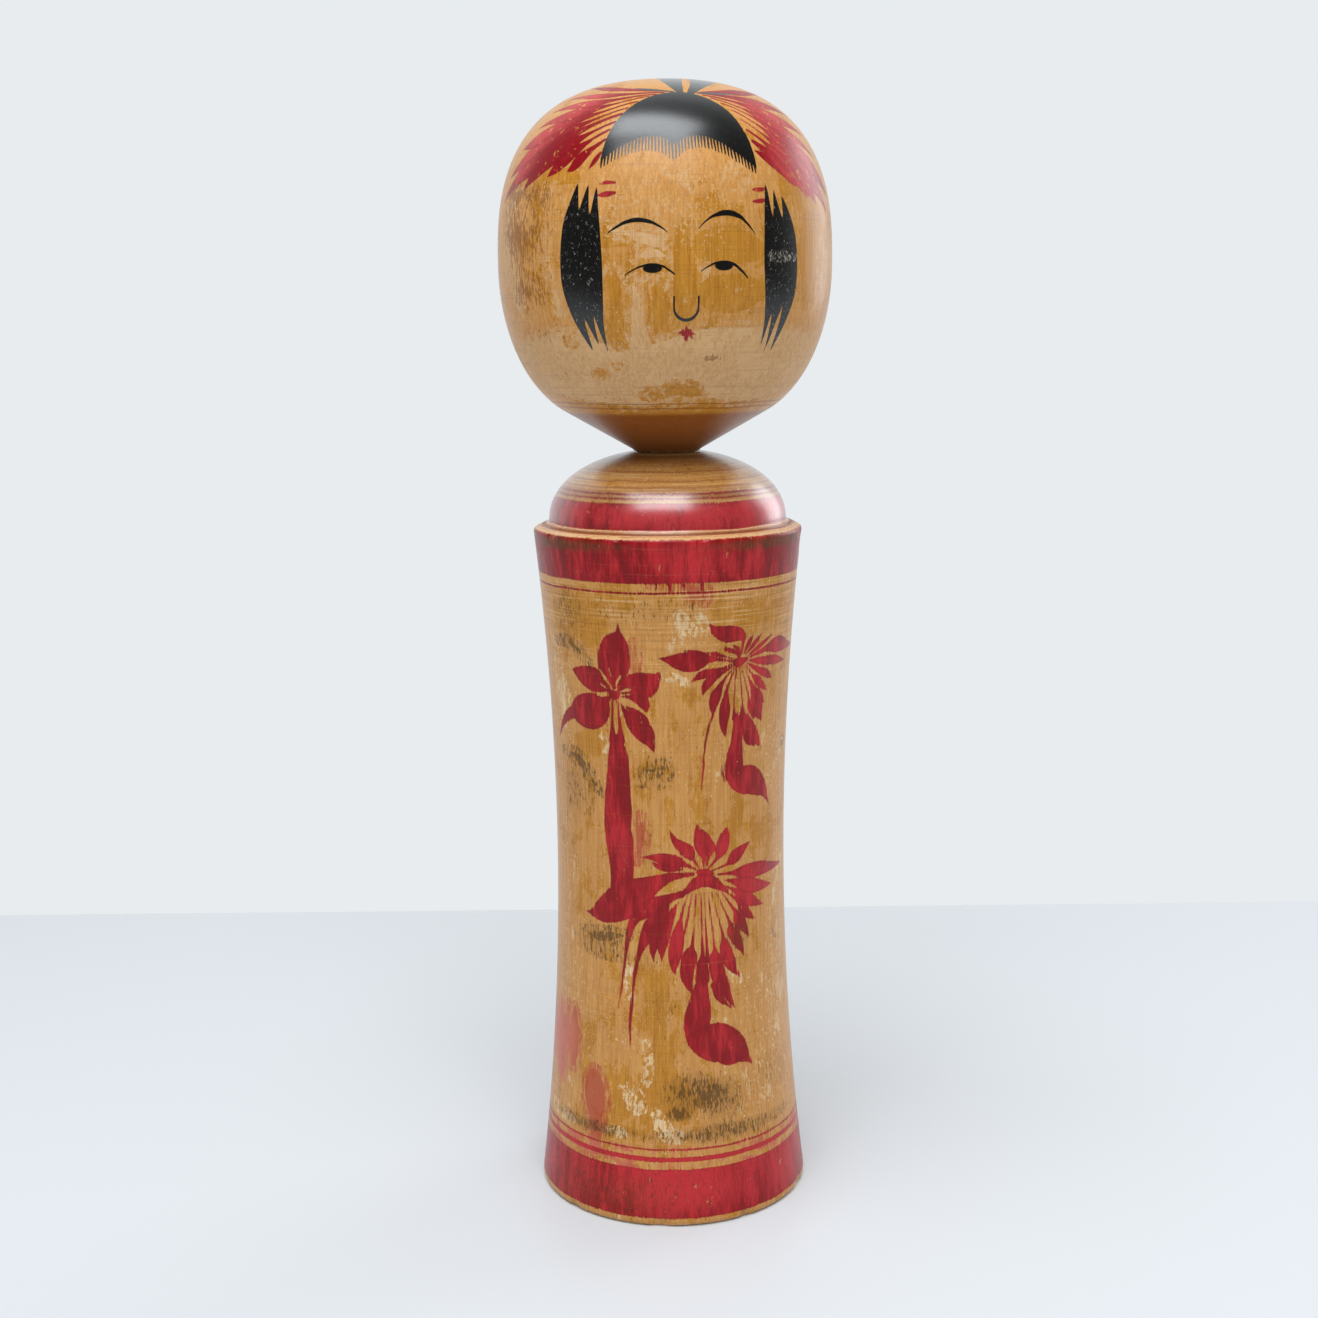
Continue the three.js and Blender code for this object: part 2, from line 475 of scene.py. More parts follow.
# Where the brush went, as (across, up, half width) in mm on the barrel opened out flat, with 0 at the
# front. Three chrysanthemums in crimson dye: one seen from the front with a long bud below it, and two
# seen from the side, each with its leaf and thin stems. The slits are pale gaps that the brush left.
paint_radius = 33
barrel_spots = np.column_stack([body_spots["bearing"] * paint_radius, body_spots["height"]])
left_flower = [
    [(-14.9, 147.3, 0.5), (-15.4, 151, 3.4), (-15.1, 154.5, 4.5), (-14.3, 157.8, 4.0), (-13.4, 160.8, 1.7),
     (-13.1, 162.6, 0.7), (-13.1, 164.8, 0.1)],
    [(-13.8, 148.4, 0.4), (-12.4, 152.5, 1.9), (-12.1, 156.5, 1.9), (-11.9, 159.3, 1.1),
     (-12.8, 161.6, 0.3)],
    [(-28.8, 150.8, 0.1), (-26.2, 150.3, 1.7), (-22.6, 149.3, 3.2), (-19.5, 148.6, 3.0),
     (-17.4, 147.3, 1.2), (-15.8, 146, 0.4)],
    [(-38.5, 131, 0.2), (-35.6, 135, 0.9), (-32.4, 137.7, 1.5), (-29, 139.3, 2.1), (-25.4, 140, 4.4),
     (-22, 140.4, 4.9), (-19.6, 141.4, 3.2), (-17.8, 143.4, 1.4), (-15.8, 145.2, 0.4)],
    [(-14, 146.3, 0.3), (-11.6, 147.6, 2.0), (-8.8, 148, 3.6), (-6.2, 148.5, 3.3), (-4.1, 150, 1.7),
     (-2.6, 151.8, 0.2)],
    [(-12.6, 145, 0.3), (-8.8, 145, 1.4), (-6.7, 143.6, 1.6), (-6.2, 141.6, 0.4)],
    [(-13.2, 143.2, 0.2), (-11.4, 140.4, 1.1), (-9, 137.9, 2.6), (-7, 135.8, 2.7), (-5.4, 133.3, 1.4),
     (-4.3, 130.3, 0.1)],
    [(-12, 142.6, 0.2), (-9.4, 141.2, 0.9), (-7.2, 139.2, 1.3), (-5.8, 136.8, 0.9)],
    [(-16.3, 146.4, 0.6), (-15, 145.3, 1.4), (-13.8, 145.6, 0.6)],
    [(-15.6, 145, 0.35), (-15.7, 141, 0.45), (-15.9, 137, 0.6), (-15.9, 133, 1.2)],
    [(-14.3, 145, 0.3), (-13.9, 141, 0.4), (-13.6, 137, 0.6), (-13.4, 133, 1.2)],
]
slits = [
    [(-18.9, 151.8, 0.2), (-17.2, 149.4, 0.35), (-15.6, 147.4, 0.15)],
    [(-18.8, 148, 0.2), (-17.2, 147, 0.15)],
    [(-13, 150.6, 0.25), (-13.8, 149.2, 0.3), (-14.4, 147.8, 0.1)],
    [(-16.1, 152.4, 0.1), (-15.6, 150.4, 0.15)],
    [(-10.2, 147.1, 0.15), (-11.6, 146.9, 0.3), (-13, 146.4, 0.15)],
    [(-10.4, 145.8, 0.1), (-12.8, 145.7, 0.12)],
    [(-9.6, 143.6, 0.3), (-11.4, 144.4, 0.35), (-12.8, 145, 0.1)],
]
drips = [
    [(-3, 175.4, 0.5), (-3.2, 174, 0.3), (-3.3, 173.2, 0.1)],
    [(0, 175.4, 0.7), (0.3, 173.9, 0.4), (0.4, 172.9, 0.1)],
    [(3.4, 175.4, 0.5), (3.5, 174.2, 0.3), (3.5, 173.4, 0.1)],
    [(8, 175.2, 0.6), (8.2, 173.4, 0.4), (8.3, 171.4, 0.1)],
]
bud = [
    [(-14.7, 134.5, 0.5), (-14.6, 131, 2.5), (-14.6, 126, 3.3), (-14.8, 121, 3.75), (-15, 116, 4.1),
     (-15.2, 111, 4.2), (-15.3, 106, 3.8), (-14.9, 101, 3.4), (-14.6, 96, 3.1), (-14.6, 91, 3.4),
     (-15, 87, 2.4)],
    [(-12.3, 112, 0.4), (-11.8, 107, 1.1), (-11.6, 101, 1.2), (-12, 96, 1.4), (-12.5, 91, 1.6)],
]
right_flower = [
    [(10.1, 165.1, 0.1), (10.7, 163.5, 0.6), (12.2, 162.2, 1.5), (15, 161.3, 2.3), (17.8, 161.1, 2.0),
     (19.7, 160.2, 1.1), (19.9, 158.4, 0.5), (19.3, 155.5, 0.35)],
    [(-2.9, 155.7, 0.1), (0, 155.2, 1.1), (3, 154.7, 2.4), (6, 154.5, 2.7), (9, 155, 1.6),
     (12, 154.9, 0.7), (17.5, 153.8, 0.3)],
    [(4, 157.6, 0.2), (6.5, 156.8, 0.9), (9.5, 156.3, 0.5)],
    [(9.7, 156.9, 0.2), (12, 156.2, 0.7), (14.5, 155.4, 0.4), (18, 154.2, 0.2)],
    [(13.5, 157.7, 0.2), (15.8, 157, 0.65), (18, 156, 0.5), (19, 154.5, 0.3)],
    [(16.8, 158.2, 0.2), (18.4, 157, 0.7), (19, 155, 0.4)],
    [(5.5, 149.2, 0.1), (8, 150.8, 1.1), (10.6, 151.4, 1.2), (13.5, 152.1, 0.6), (17.5, 153.3, 0.25)],
    [(8.6, 145.6, 0.2), (9.5, 148, 1.2), (11.3, 149.8, 1.2), (14, 151.2, 0.6), (17.5, 152.9, 0.25)],
    [(11.4, 139.8, 0.2), (11.6, 142.5, 1.2), (12.2, 145, 1.6), (13.4, 147.4, 0.9), (15, 149.8, 0.35),
     (17.7, 152.5, 0.22)],
    [(15.4, 133.4, 0.1), (14.7, 137, 1.2), (14.9, 141, 1.7), (15.2, 144.5, 0.9), (15.8, 148, 0.35),
     (17.8, 152, 0.22)],
    [(18.1, 152, 0.2), (17.7, 147, 0.24), (17.6, 142, 0.28), (18, 138.5, 0.9)],
    [(19.2, 152, 0.2), (19.8, 147, 0.24), (20.5, 142, 0.4), (20.6, 138.5, 1.2)],
    [(20, 152, 0.2), (21.1, 148, 0.24), (22.6, 143.5, 0.4), (23, 141.5, 0.5)],
    [(20.6, 152.3, 0.2), (22.4, 148.6, 0.3), (24.6, 144.5, 1.4), (25.6, 141, 2.3), (26.5, 138.7, 1.4),
     (27.9, 136.5, 0.1)],
    [(24, 146, 0.4), (26, 143.8, 1.5), (28.7, 141.4, 0.15)],
    [(22.6, 142.6, 0.4), (23.3, 140.3, 0.8), (24.6, 138, 0.6)],
    [(21, 152.6, 0.2), (23.5, 149.6, 0.4), (26, 147.4, 1.3), (29.8, 144.3, 0.1)],
    [(21.3, 153.1, 0.2), (25.5, 150.7, 0.9), (29, 149.2, 1.2), (32, 147.4, 0.15)],
    [(21.6, 153.7, 0.2), (27, 152.9, 1.2), (33, 152.3, 1.3), (38.5, 151.4, 0.2)],
    [(21.6, 154.3, 0.2), (28.5, 156.0, 1.0), (34, 156.4, 2.3), (40, 155.4, 1.2), (45.5, 154.6, 0.2)],
    [(21.4, 154.8, 0.2), (26, 157.2, 0.7), (30.4, 159.4, 0.2)],
    [(21, 155.4, 0.2), (24, 158.2, 0.7), (26.3, 160.3, 0.15)],
    [(20.2, 155.6, 0.2), (21.9, 158.4, 0.75), (23.2, 160.4, 0.15)],
    [(17, 153.9, 0.4), (18.6, 153.4, 1.3), (20.6, 153.9, 0.8), (21.6, 154.2, 0.3)],
    [(20.4, 139.6, 0.5), (22, 136.8, 1.9), (23.8, 134.4, 2.1), (25.6, 131.9, 1.5), (27.9, 129.2, 0.1)],
    [(21, 134.5, 0.6), (22.8, 131.8, 1.1), (25.3, 130.4, 0.4)],
]
right_leaf = [
    [(18.6, 139.2, 0.7), (19.2, 136, 1.8), (18.8, 132, 1.9), (18.3, 128, 2.7), (18.3, 124, 3.1),
     (19.7, 120.8, 2.5), (22, 118.4, 1.3)],
    [(19.6, 123, 2.0), (23.3, 121.2, 3.9), (26.8, 119.3, 3.1), (29.4, 117.1, 1.7), (31.1, 114.8, 0.7),
     (32.6, 112.2, 0.1)],
    [(11.6, 140.5, 0.4), (10, 135.5, 0.33), (9.2, 130, 0.3), (8.9, 125, 0.3), (8.5, 120.2, 0.15)],
    [(14.6, 129, 0.1), (14.4, 125, 0.35), (15.3, 121.8, 0.3)],
]
low_flower_left = [
    [(-26.4, 84.4, 0.1), (-23.2, 84.7, 1.5), (-19.6, 86, 3.5), (-15.5, 88.3, 4.8), (-11.4, 90.6, 4.9),
     (-8, 92.8, 3.5), (-4, 95, 2.1), (0, 96.6, 1.2), (6, 97.2, 0.5)],
    [(4.6, 92.6, 0.6), (-1.4, 90.4, 1.4), (-6.6, 88, 2.5), (-10.4, 84.8, 1.5), (-12.2, 80, 0.9),
     (-13.1, 75, 0.5), (-13.6, 71, 0.4), (-14.4, 65, 0.35), (-15.4, 59.4, 0.15)],
    [(-3, 87.8, 0.8), (-5.8, 83.2, 2.0), (-8, 78.4, 1.4), (-9.6, 73.8, 0.7), (-10.5, 69, 0.5),
     (-11.2, 63, 0.45), (-11.8, 56, 0.42), (-11.7, 49.2, 0.15)],
    [(-0.6, 89.4, 0.3), (-3.4, 84.6, 1.9), (-4.8, 79.4, 1.7), (-5.3, 75, 0.6), (-5.1, 72.9, 0.1)],
    [(1.8, 89.6, 0.25), (-1, 84.4, 1.5), (-2.6, 79, 1.7), (-2.9, 74.6, 0.5), (-2.8, 73, 0.1)],
    [(4.4, 91.6, 0.25), (2.6, 85.6, 0.5), (1.6, 80.4, 1.8), (0.9, 75.6, 2.0), (0.4, 72, 1),
     (0.8, 69.5, 0.1)],
    [(5.6, 91.8, 0.2), (4.4, 85.6, 0.3), (3.4, 81, 0.4)],
    [(-8.4, 101.8, 0.1), (-5, 101.9, 0.9), (-2, 101.4, 1.7), (1.2, 100.7, 1.7), (4.4, 99.6, 0.6),
     (7.4, 98, 0.25)],
    [(-5.4, 100.6, 0.2), (-3.4, 99.4, 0.8), (-0.4, 98.8, 0.9), (3, 98.6, 0.3)],
    [(-0.4, 109.6, 0.1), (0.7, 106.9, 0.8), (2.6, 105, 1.5), (4.6, 103.3, 1.9), (6.1, 101.2, 0.6),
     (8, 98.4, 0.25)],
]
low_flower_right = [
    [(7, 110.8, 0.1), (7.9, 107.9, 1.6), (9, 105, 2.7), (9, 102.2, 1.0), (8.9, 98.6, 0.3)],
    [(10.6, 106.4, 0.6), (11.2, 103.9, 1.3), (10.4, 101.6, 0.6), (9.6, 98.6, 0.25)],
    [(16.3, 109.4, 0.1), (15.3, 106.4, 1.6), (14.5, 103.6, 2.0), (13, 101, 0.7), (10.4, 98.4, 0.25)],
    [(24.1, 104, 0.1), (20.8, 102, 1.4), (18.5, 100.5, 1.9), (16, 98.9, 0.5), (11.4, 97.6, 0.25)],
    [(41.5, 94.2, 0.1), (34, 94.9, 1.3), (28, 95.6, 2.1), (22, 95.8, 2.0), (18, 96.2, 0.7),
     (13, 96.4, 0.25)],
    [(34.5, 89.9, 0.1), (28, 90.8, 1.6), (23, 92, 2.3), (18.8, 93.6, 1.0), (15.4, 94.6, 0.25)],
    [(29.7, 85.2, 0.1), (25.5, 86.9, 1.4), (22, 88.8, 1.9), (18.6, 91.2, 0.8), (15.8, 92.8, 0.25)],
    [(26.2, 81.9, 0.1), (24, 83.2, 0.9), (21.6, 85.6, 1.6), (19.4, 88.4, 0.7), (15.4, 91.6, 0.22)],
    [(23.2, 77.8, 0.2), (21.7, 80.2, 1.2), (20, 82.6, 1.9), (18.2, 86, 0.6), (14.2, 91.4, 0.22)],
    [(21.3, 72.4, 0.1), (20.7, 74.2, 0.6), (19.6, 76.3, 1.4), (17.9, 79.8, 2.0), (16.6, 83, 0.5),
     (12.8, 91.4, 0.22)],
    [(19.8, 67.1, 0.1), (18, 69.2, 1.0), (16.4, 72.2, 2.0), (15.2, 76, 1.8), (14.4, 80, 0.4),
     (11.2, 91.6, 0.2)],
    [(18, 58.2, 0.1), (16.4, 61.3, 0.9), (14.7, 64.6, 1.7), (13, 68.6, 2.3), (12.1, 73, 1.9),
     (11.8, 77.4, 0.4), (10.2, 91.6, 0.2)],
    [(16.6, 58.9, 0.1), (14.9, 60.5, 0.6), (13, 62.7, 1.2), (11.6, 66, 1.0)],
    [(5.6, 64.2, 0.2), (4.3, 67, 1.2), (4.0, 70.6, 2.1), (4.8, 74.6, 2.1), (5.6, 78.2, 0.5),
     (6.9, 91.8, 0.2)],
    [(8.3, 68, 2.1), (8.3, 72, 1.6), (8.4, 76.2, 0.5), (8.1, 91.8, 0.2)],
    [(9, 91.8, 0.2), (9.4, 84, 0.2), (9.7, 77.4, 0.4), (9.9, 73, 0.8)],
    [(2.8, 91.4, 0.6), (5.5, 93.7, 1.3), (8.5, 95.2, 1.9), (11.6, 94.5, 1.7), (14.6, 92.4, 0.9),
     (16.2, 91.3, 0.3)],
    [(7.2, 97.6, 0.5), (9.2, 97.4, 1.2), (11.6, 96.8, 0.5)],
]
low_leaf = [
    [(8.3, 70, 1.0), (7.8, 64.5, 2.3), (7, 59.5, 3.4), (6.6, 55.3, 3.75), (7.2, 51.4, 3.4), (9, 48.2, 2.4),
     (11.5, 45.6, 1.1)],
    [(9, 53.4, 2.0), (12.4, 50.6, 4.8), (16, 48.2, 4.6), (19, 46, 2.7), (21.4, 43.6, 1.0), (23, 41.9, 0.1)],
    [(11, 47.5, 1.5), (15, 45.2, 2.0), (19, 44.4, 1.0)],
]
dyed, coats = brushed(barrel_spots, drips + left_flower + bud + right_flower + right_leaf
                      + low_flower_left + low_flower_right + low_leaf)
uncovered, _ = brushed(barrel_spots, slits)
dyed = np.minimum(dyed, -uncovered)

# Dye that ran when the doll was damp: pink smears at the lower left and beside the bud, and drips under
# the shoulder band. Then where the wax is thick (+) or rubbed off (-), and where grime has settled, among
# which a painted shadow and a painted shade are kept.
smears = [
    [(-46, 52, 2.0), (-45, 46, 4.5), (-46, 40, 3.0)],
    [(-40, 54.6, 1.6), (-39, 47, 4.0), (-38, 37, 3.4), (-38, 34, 0.5)],
    [(-31.4, 55.6, 1.4), (-31.6, 51, 3.0), (-31.8, 45, 3.4), (-31.6, 40.5, 2.4)],
    [(-35, 55, 1.6), (-35, 46, 3.0)],
    [(-22.5, 41.4, 0.6), (-22.8, 38, 3.4), (-22.2, 33, 4.4), (-21.8, 28, 3.2), (-21.6, 23, 2.6),
     (-21.6, 19, 2.6)],
    [(-8.4, 113, 0.8), (-8.2, 109, 1.9), (-8.8, 104.5, 1.9), (-9.6, 101, 1.0)],
    [(-5, 175.6, 1.0), (1, 174.8, 1.0), (4, 174, 1.6)],
    [(4.4, 174.6, 1.6), (6.4, 172.8, 2.6), (8.4, 172, 2.2), (8.6, 170, 0.8)],
    [(-9, 160, 0.5), (-8.6, 156, 0.9), (-8.8, 152.5, 0.6)],
]
smeared, _ = brushed(barrel_spots, smears, 3, 1.0)
# The first soiled stroke is a painted shadow: a dark arc on the left flank, soft at its upper right.
soil_and_shadow_strokes = [
    [(-36, 127.6, 0.4), (-32, 127.6, 1.2), (-28.5, 126.6, 2.0), (-25.5, 124, 1.8), (-22.6, 120.6, 1.3),
     (-20, 118, 0.2)],
    [(-35, 157.8, 0.4), (-31, 158.4, 1.0), (-27, 157, 1.4), (-24.4, 155.2, 0.8), (-22.6, 153.2, 0.2)],
    [(-7.8, 122, 0.5), (-6.6, 125.4, 1.2), (-4.6, 125.6, 1.4), (-2.6, 126.4, 1.6), (-0.4, 125.6, 0.8)],
    [(-28, 74.2, 0.3), (-24, 74.2, 0.8), (-18, 73.8, 0.9), (-14, 73.4, 0.6)],
    [(-28, 79, 0.8), (-22, 78.4, 2.2), (-16, 79.4, 1.8), (-12, 80, 0.5)],
    [(40, 128.6, 0.4), (43, 128.1, 0.3)],
]
soiled, _ = brushed(barrel_spots, soil_and_shadow_strokes, 3)
peeled = [
    [(-4.6, 31.5, 0.6), (-3.2, 28.4, 1.4), (-1.4, 25.6, 1.5), (1.4, 24.8, 1.0)],
    [(-17, 25.4, 0.5), (-14.8, 25.2, 0.9), (-13.6, 24.4, 0.6)],
    [(-41, 25, 1.0), (-36, 24.4, 1.0), (-30, 23.6, 0.6)],
    [(-7.2, 50.4, 0.3), (-6.4, 45, 0.5), (-6.8, 41, 0.5), (-8.8, 36.6, 0.3), (-8.4, 32.4, 0.7)],
    [(17.4, 70.2, 0.5), (18.6, 67.4, 1.1), (20, 66.6, 0.5)],
    [(-34, 147.4, 0.8), (-32.4, 143.6, 1.0), (-31, 141.4, 0.5)],
    [(2.6, 166.6, 0.8), (4.2, 163.6, 1.3), (6.8, 162.6, 0.8)],
    [(7.6, 166, 0.6), (9.4, 164, 0.7)],
    [(-18.8, 133.8, 0.5), (-18.4, 130.6, 0.5)],
    [(-11.6, 63, 0.3), (-12.6, 67, 0.4), (-12, 71.4, 0.6)],
    [(-14, 37.4, 0.3), (-12, 34.6, 0.4), (-11, 32, 0.3)],
    [(-12, 38.4, 0.3), (-10.6, 35, 0.4), (-9.6, 31.4, 0.3)],
    [(-2.6, 150.8, 0.4), (1, 150.4, 0.5), (5, 148.8, 0.3)],
    [(-36, 143, 0.8), (-34.6, 139.6, 0.6)],
]
worn, _ = brushed(barrel_spots, peeled, 3)
kept_wax = [
    [(-29, 170, 2), (-26, 165, 4.5), (-22, 160, 3)],
    [(-19, 41, 1.0), (-14, 38, 2.6), (-9, 34, 2.8), (-6, 29, 1.6), (-9, 25.4, 1.6), (-16, 27.6, 1.4)],
    [(0, 40, 1.2), (1.6, 36, 1.8), (1, 31, 1.0)],
    [(16, 109.6, 0.8), (22, 109, 1.6), (30, 107.4, 1.4), (38, 107, 1.6)],
    [(14, 166.4, 0.6), (20, 168, 1.6), (30, 166.4, 1.6), (38, 166, 1.2)],
    [(-4, 60, 1.6), (-8, 55, 2.0), (-14, 60, 1.0)],
]
kept_on, _ = brushed(barrel_spots, kept_wax, 3)
wax = blots(barrel_spots, [
    (-24, 165, 8, 7, 1.3), (26, 166, 16, 4, 0.9), (-8, 170, 16, 3, 0.5), (-9, 34, 11, 9, 1.5),
    (-22, 132, 6, 6, 0.9), (0, 118, 12, 9, 0.35), (21, 108, 9, 6, 0.7), (4, 144, 6, 9, 0.6),
    (-7, 64, 7, 9, 0.7), (1, 36, 4, 6, 1.2), (-30, 108, 8, 12, 0.4), (33, 108, 8, 8, 0.5),
    (-2, 50, 6, 6, 0.5), (24, 76, 5, 4, 0.4), (-36, 146, 6, 14, -0.9), (-32, 62, 10, 8, -0.4),
    (-12, 52, 5, 6, -0.5), (32, 56, 10, 20, -0.7), (34, 128, 8, 10, -0.7), (10, 128, 8, 7, -0.4),
    (24, 34, 12, 9, -0.5), (-36, 100, 5, 40, -0.6), (38, 90, 6, 40, -0.7),
])
# Grime, and as the last blot a ring of painted shade round the top of the dome, under the head.
grime = blots(barrel_spots, [
    (-22, 77, 10, 5, 0.6), (-4, 125, 6, 6, 0.5), (5, 37, 9, 6, 0.75), (14, 34, 7, 7, 0.6),
    (1, 31, 3, 2, 0.9), (-9, 73, 6, 2, 0.4), (19, 79, 6, 5, 0.5), (-26, 25, 14, 2.2, 0.8),
    (14, 25, 26, 2.6, 0.75), (36, 76, 5, 7, 0.4), (32, 38, 9, 8, 0.35), (-34, 100, 4, 40, 0.25),
    (-30, 164, 6, 9, 0.4), (24, 157, 12, 9, 0.3), (-6, 168, 26, 5, 0.4), (-28, 118, 8, 9, 0.5),
    (-6, 104, 3, 9, 0.3), (-2, 62, 8, 9, 0.3), (-32, 184.5, 24, 2, 0.8), (30, 184.5, 24, 2, 0.8),
    (-26, 8, 22, 8, 0.4), (0, 8, 16, 8, 0.25), (0, 205, 120, 4, 0.5),
])
# Paler dye: faded by light and hands, except the blot across the dome's band at height 192, which is a
# painted reflection.
faded = blots(barrel_spots, [
    (-30, 10, 26, 12, 0.35), (-39, 46, 10, 14, 1.0), (0, 12, 14, 11, 0.7), (28, 12, 22, 10, 0.5),
    (0, 19, 60, 3, 0.5), (4, 181, 11, 7, 0.65), (22, 181, 7, 6, 0.35), (-20, 178, 5, 5, 0.2),
    (14, 192, 56, 5, 0.8), (28, 150, 12, 16, 0.55), (8, 90, 30, 30, 0.35), (-13, 104, 2, 9, 0.4),
    (9, 104, 12, 5, 0.3), (28, 92, 12, 6, 0.45), (22, 119, 8, 5, 0.25), (14, 50, 8, 5, 0.15),
])
# Wood without paint: the hollow under the foot, and the socket with the seat round its mouth.
socket_run = 32
body_run = body_spots["run"]
unpainted = (body_spots["height"] < dish_depth + 0.1) & (body_run < dish_radius + 3)
unpainted |= body_run > body_run.max() - socket_run
store(body, dyed=dyed, coats=coats, smeared=smeared, soiled=soiled, worn=worn, waxed=kept_on, wax=wax,
      grime=grime, faded=faded, bare=unpainted)


def painted_wood(name):
    """A new material with its Principled shader, and its surface's position in millimetres."""
    made = bpy.data.materials.new(name)
    made.use_nodes = True
    shader = made.node_tree.nodes["Principled BSDF"]
    start = Wash(shader.inputs["Base Color"])
    place = start.node("TexCoord", output="Object")
    place = place.node("VectorMath", {"operation": "SCALE"}, {0: place, "Scale": 1 / mm})
    return made, shader, place


def connect(shader, **sockets):
    """Links each value to the shader's socket of that name, with _ for a space."""
    for name, value in sockets.items():
        shader.id_data.links.new(value.socket, shader.inputs[name.replace("_", " ")])


def kept(place, name):
    """A value that store() put on the vertices."""
    return place.node("Attribute", {"attribute_name": name}, output="Fac")


def old_wood(place, lengthwise, fray, specked, bare_dark, bare_light):
    """The ground colour and its reliefs: dogwood under amber wax, which is thick where the vertices'
    wax is high, and gone in flakes where it is low or where their worn is above 0. lengthwise is how
    much finer the flakes are across than along, fray is how raggedly they end, and specked adds specks."""
    grain = place.noise(1.5, 0.03, 5, 0.62)
    pores = place.noise(3.4, 0.16, 3, 0.65)
    rings = place.noise(0.02, 2.4, 4, 0.75)
    clouds = place.noise(0.12 * lengthwise, 0.1, 5, 0.62, 0.5)
    flakes = place.noise(0.5 * lengthwise, 0.42, 6, 0.7, 0.4)
    specks = place.noise(1.5 * lengthwise, 1.1, 4, 0.6, 0.3)
    figure = grain.rise(0.3, 0.7)
    frayed = (flakes - 0.5) * fray + (specks - 0.5) * 1.5

    # Thin wax all over, and thick amber wax in clouds and where it was stored.
    wax_here = kept(place, "wax") * 0.16 + clouds + flakes * 0.45
    thick = wax_here.rise(0.76, 0.84).most((kept(place, "waxed") * 1.7 + frayed).rise(-0.1, 0.3))
    thin = figure.blend(shade("BA8040"), shade("CC9450"))
    amber = figure.blend(shade("A96C12"), shade("BE8224"))
    ground = (thick * 0.85).blend(thin, amber)

    # Bare wood where the wax has flaked off, in specks and in larger patches.
    gone = (kept(place, "worn") * 1.7 - frayed).rise(-0.1, 0.3)
    flecks = (specks + flakes * 0.45 + specked - kept(place, "wax") * 0.08).rise(0.86, 0.9)
    gone = gone.most(flecks * 0.75, wax_here.rise(0.56, 0.5) * 0.8)
    bleached = (clouds * 0.6 + flakes * 0.6).rise(0.6, 0.66)
    bare_wood = figure.blend(shade(bare_dark), shade(bare_light))
    ground = gone.blend(ground, bleached.blend(bare_wood, shade(bare_light)))

    # Dirt in the pores and in the marks of the turning tool.
    old_dirt = shade("80572A")
    turning_marks = rings.rise(0.5, 0.75) * clouds.rise(0.35, 0.6) * 0.35
    ground = (pores.rise(0.55, 0.7) * 0.3).blend(ground, old_dirt, "MULTIPLY")
    ground = turning_marks.blend(ground, old_dirt, "MULTIPLY")
    return ground, gone, grain, pores, rings, flakes


def sheen(pores, gone, rings):
    """How rough old wax is: rougher in the pores and turning marks, and most where it is gone."""
    return 0.22 + pores * 0.08 + gone * 0.16 + rings * 0.06


def relief(place, height):
    """The wood's fine unevenness, as a normal."""
    depths = {"Strength": 0.2, "Distance": 0.0004, "Height": height}
    return place.node("Bump", None, depths)


body_material, body_shader, at = painted_wood("painted_body_wood")
level_mm = at.node("SeparateXYZ", None, {0: at}, "Z")
wobble = at.noise(0.12, 0.05, 2) * 0.5 - 0.25
up = level_mm + wobble
ground, gone, grain, pores, rings, flakes = old_wood(at, 1.6, 7, 0, "CCA474", "E2C498")


def band(low, high):
    """How far inside a band of the turned body a place is, in mm."""
    return (up - low).least(high - up)


def ring(height, half):
    """The same for a line of half this width, drawn with the brush as the body turned on the lathe."""
    return half - abs(up - height)


# Three crimson bands and their lines, and how the dye spread into the grain at every edge.
bands = band(2.3, 15.9).most(ring(18.6, 0.7), ring(21.3, 0.28), ring(172.7, 0.3), band(175.1, 186.5),
                             band(188.3, 195.2), ring(196.3, 0.24), ring(197.4, 0.3))
ragged = at.noise(0.1, 0.1).rise(0.42, 0.6) * 1.1 + 0.7
bleed = (at.noise(2.6, 0.16, 4, 0.7) - 0.5) * ragged
inked = kept(at, "dyed").most(bands) + bleed
chips = flakes + at.noise(1.3, 0.5, 4, 0.7) * 0.5

# The dye is deep where strokes overlap or it pooled at an edge, dark in the pores, and paler where light
# and hands have faded it; across the dome's band the paler colour is a painted reflection. It ran down
# the grain in streaks.
deep_crimson, pale_crimson = shade("8E040C"), shade("BE2A2E")
pale_dye_and_sheen = (kept(at, "faded") + at.noise(0.14, 0.07, 4, 0.6) * 1.2 - 0.72).rise(0.0, 0.75)
pooled = inked.rise(0.9, 0.0) * 0.35 + kept(at, "coats").rise(1.1, 2.2) * 0.4
runs = at.noise(0.45, 0.07, 5, 0.68) - kept(at, "faded") * 0.1
dark_runs = runs.rise(0.46, 0.64) * (0.2 + level_mm.rise(40, 175) * 0.3)
red = pale_dye_and_sheen.blend(deep_crimson, pale_crimson)
red = (grain.rise(0.42, 0.62) * 0.22).blend(red, shade("B41C28"))
red = (pores.rise(0.46, 0.62) * 0.4).blend(red, shade("5C030B"))
red = dark_runs.blend(red, shade("5E0610"))
red = (runs.rise(0.5, 0.36) * 0.6).blend(red, shade("C2262E"))
red = (pooled * 0.7).blend(red, shade("74040E"))
chipped = (chips + pale_dye_and_sheen * 0.03).rise(0.93, 0.98)
dye = inked.rise(-0.12, 0.16) * (1 - chipped * 0.7) * (1 - rings.rise(0.6, 0.75) * 0.25)

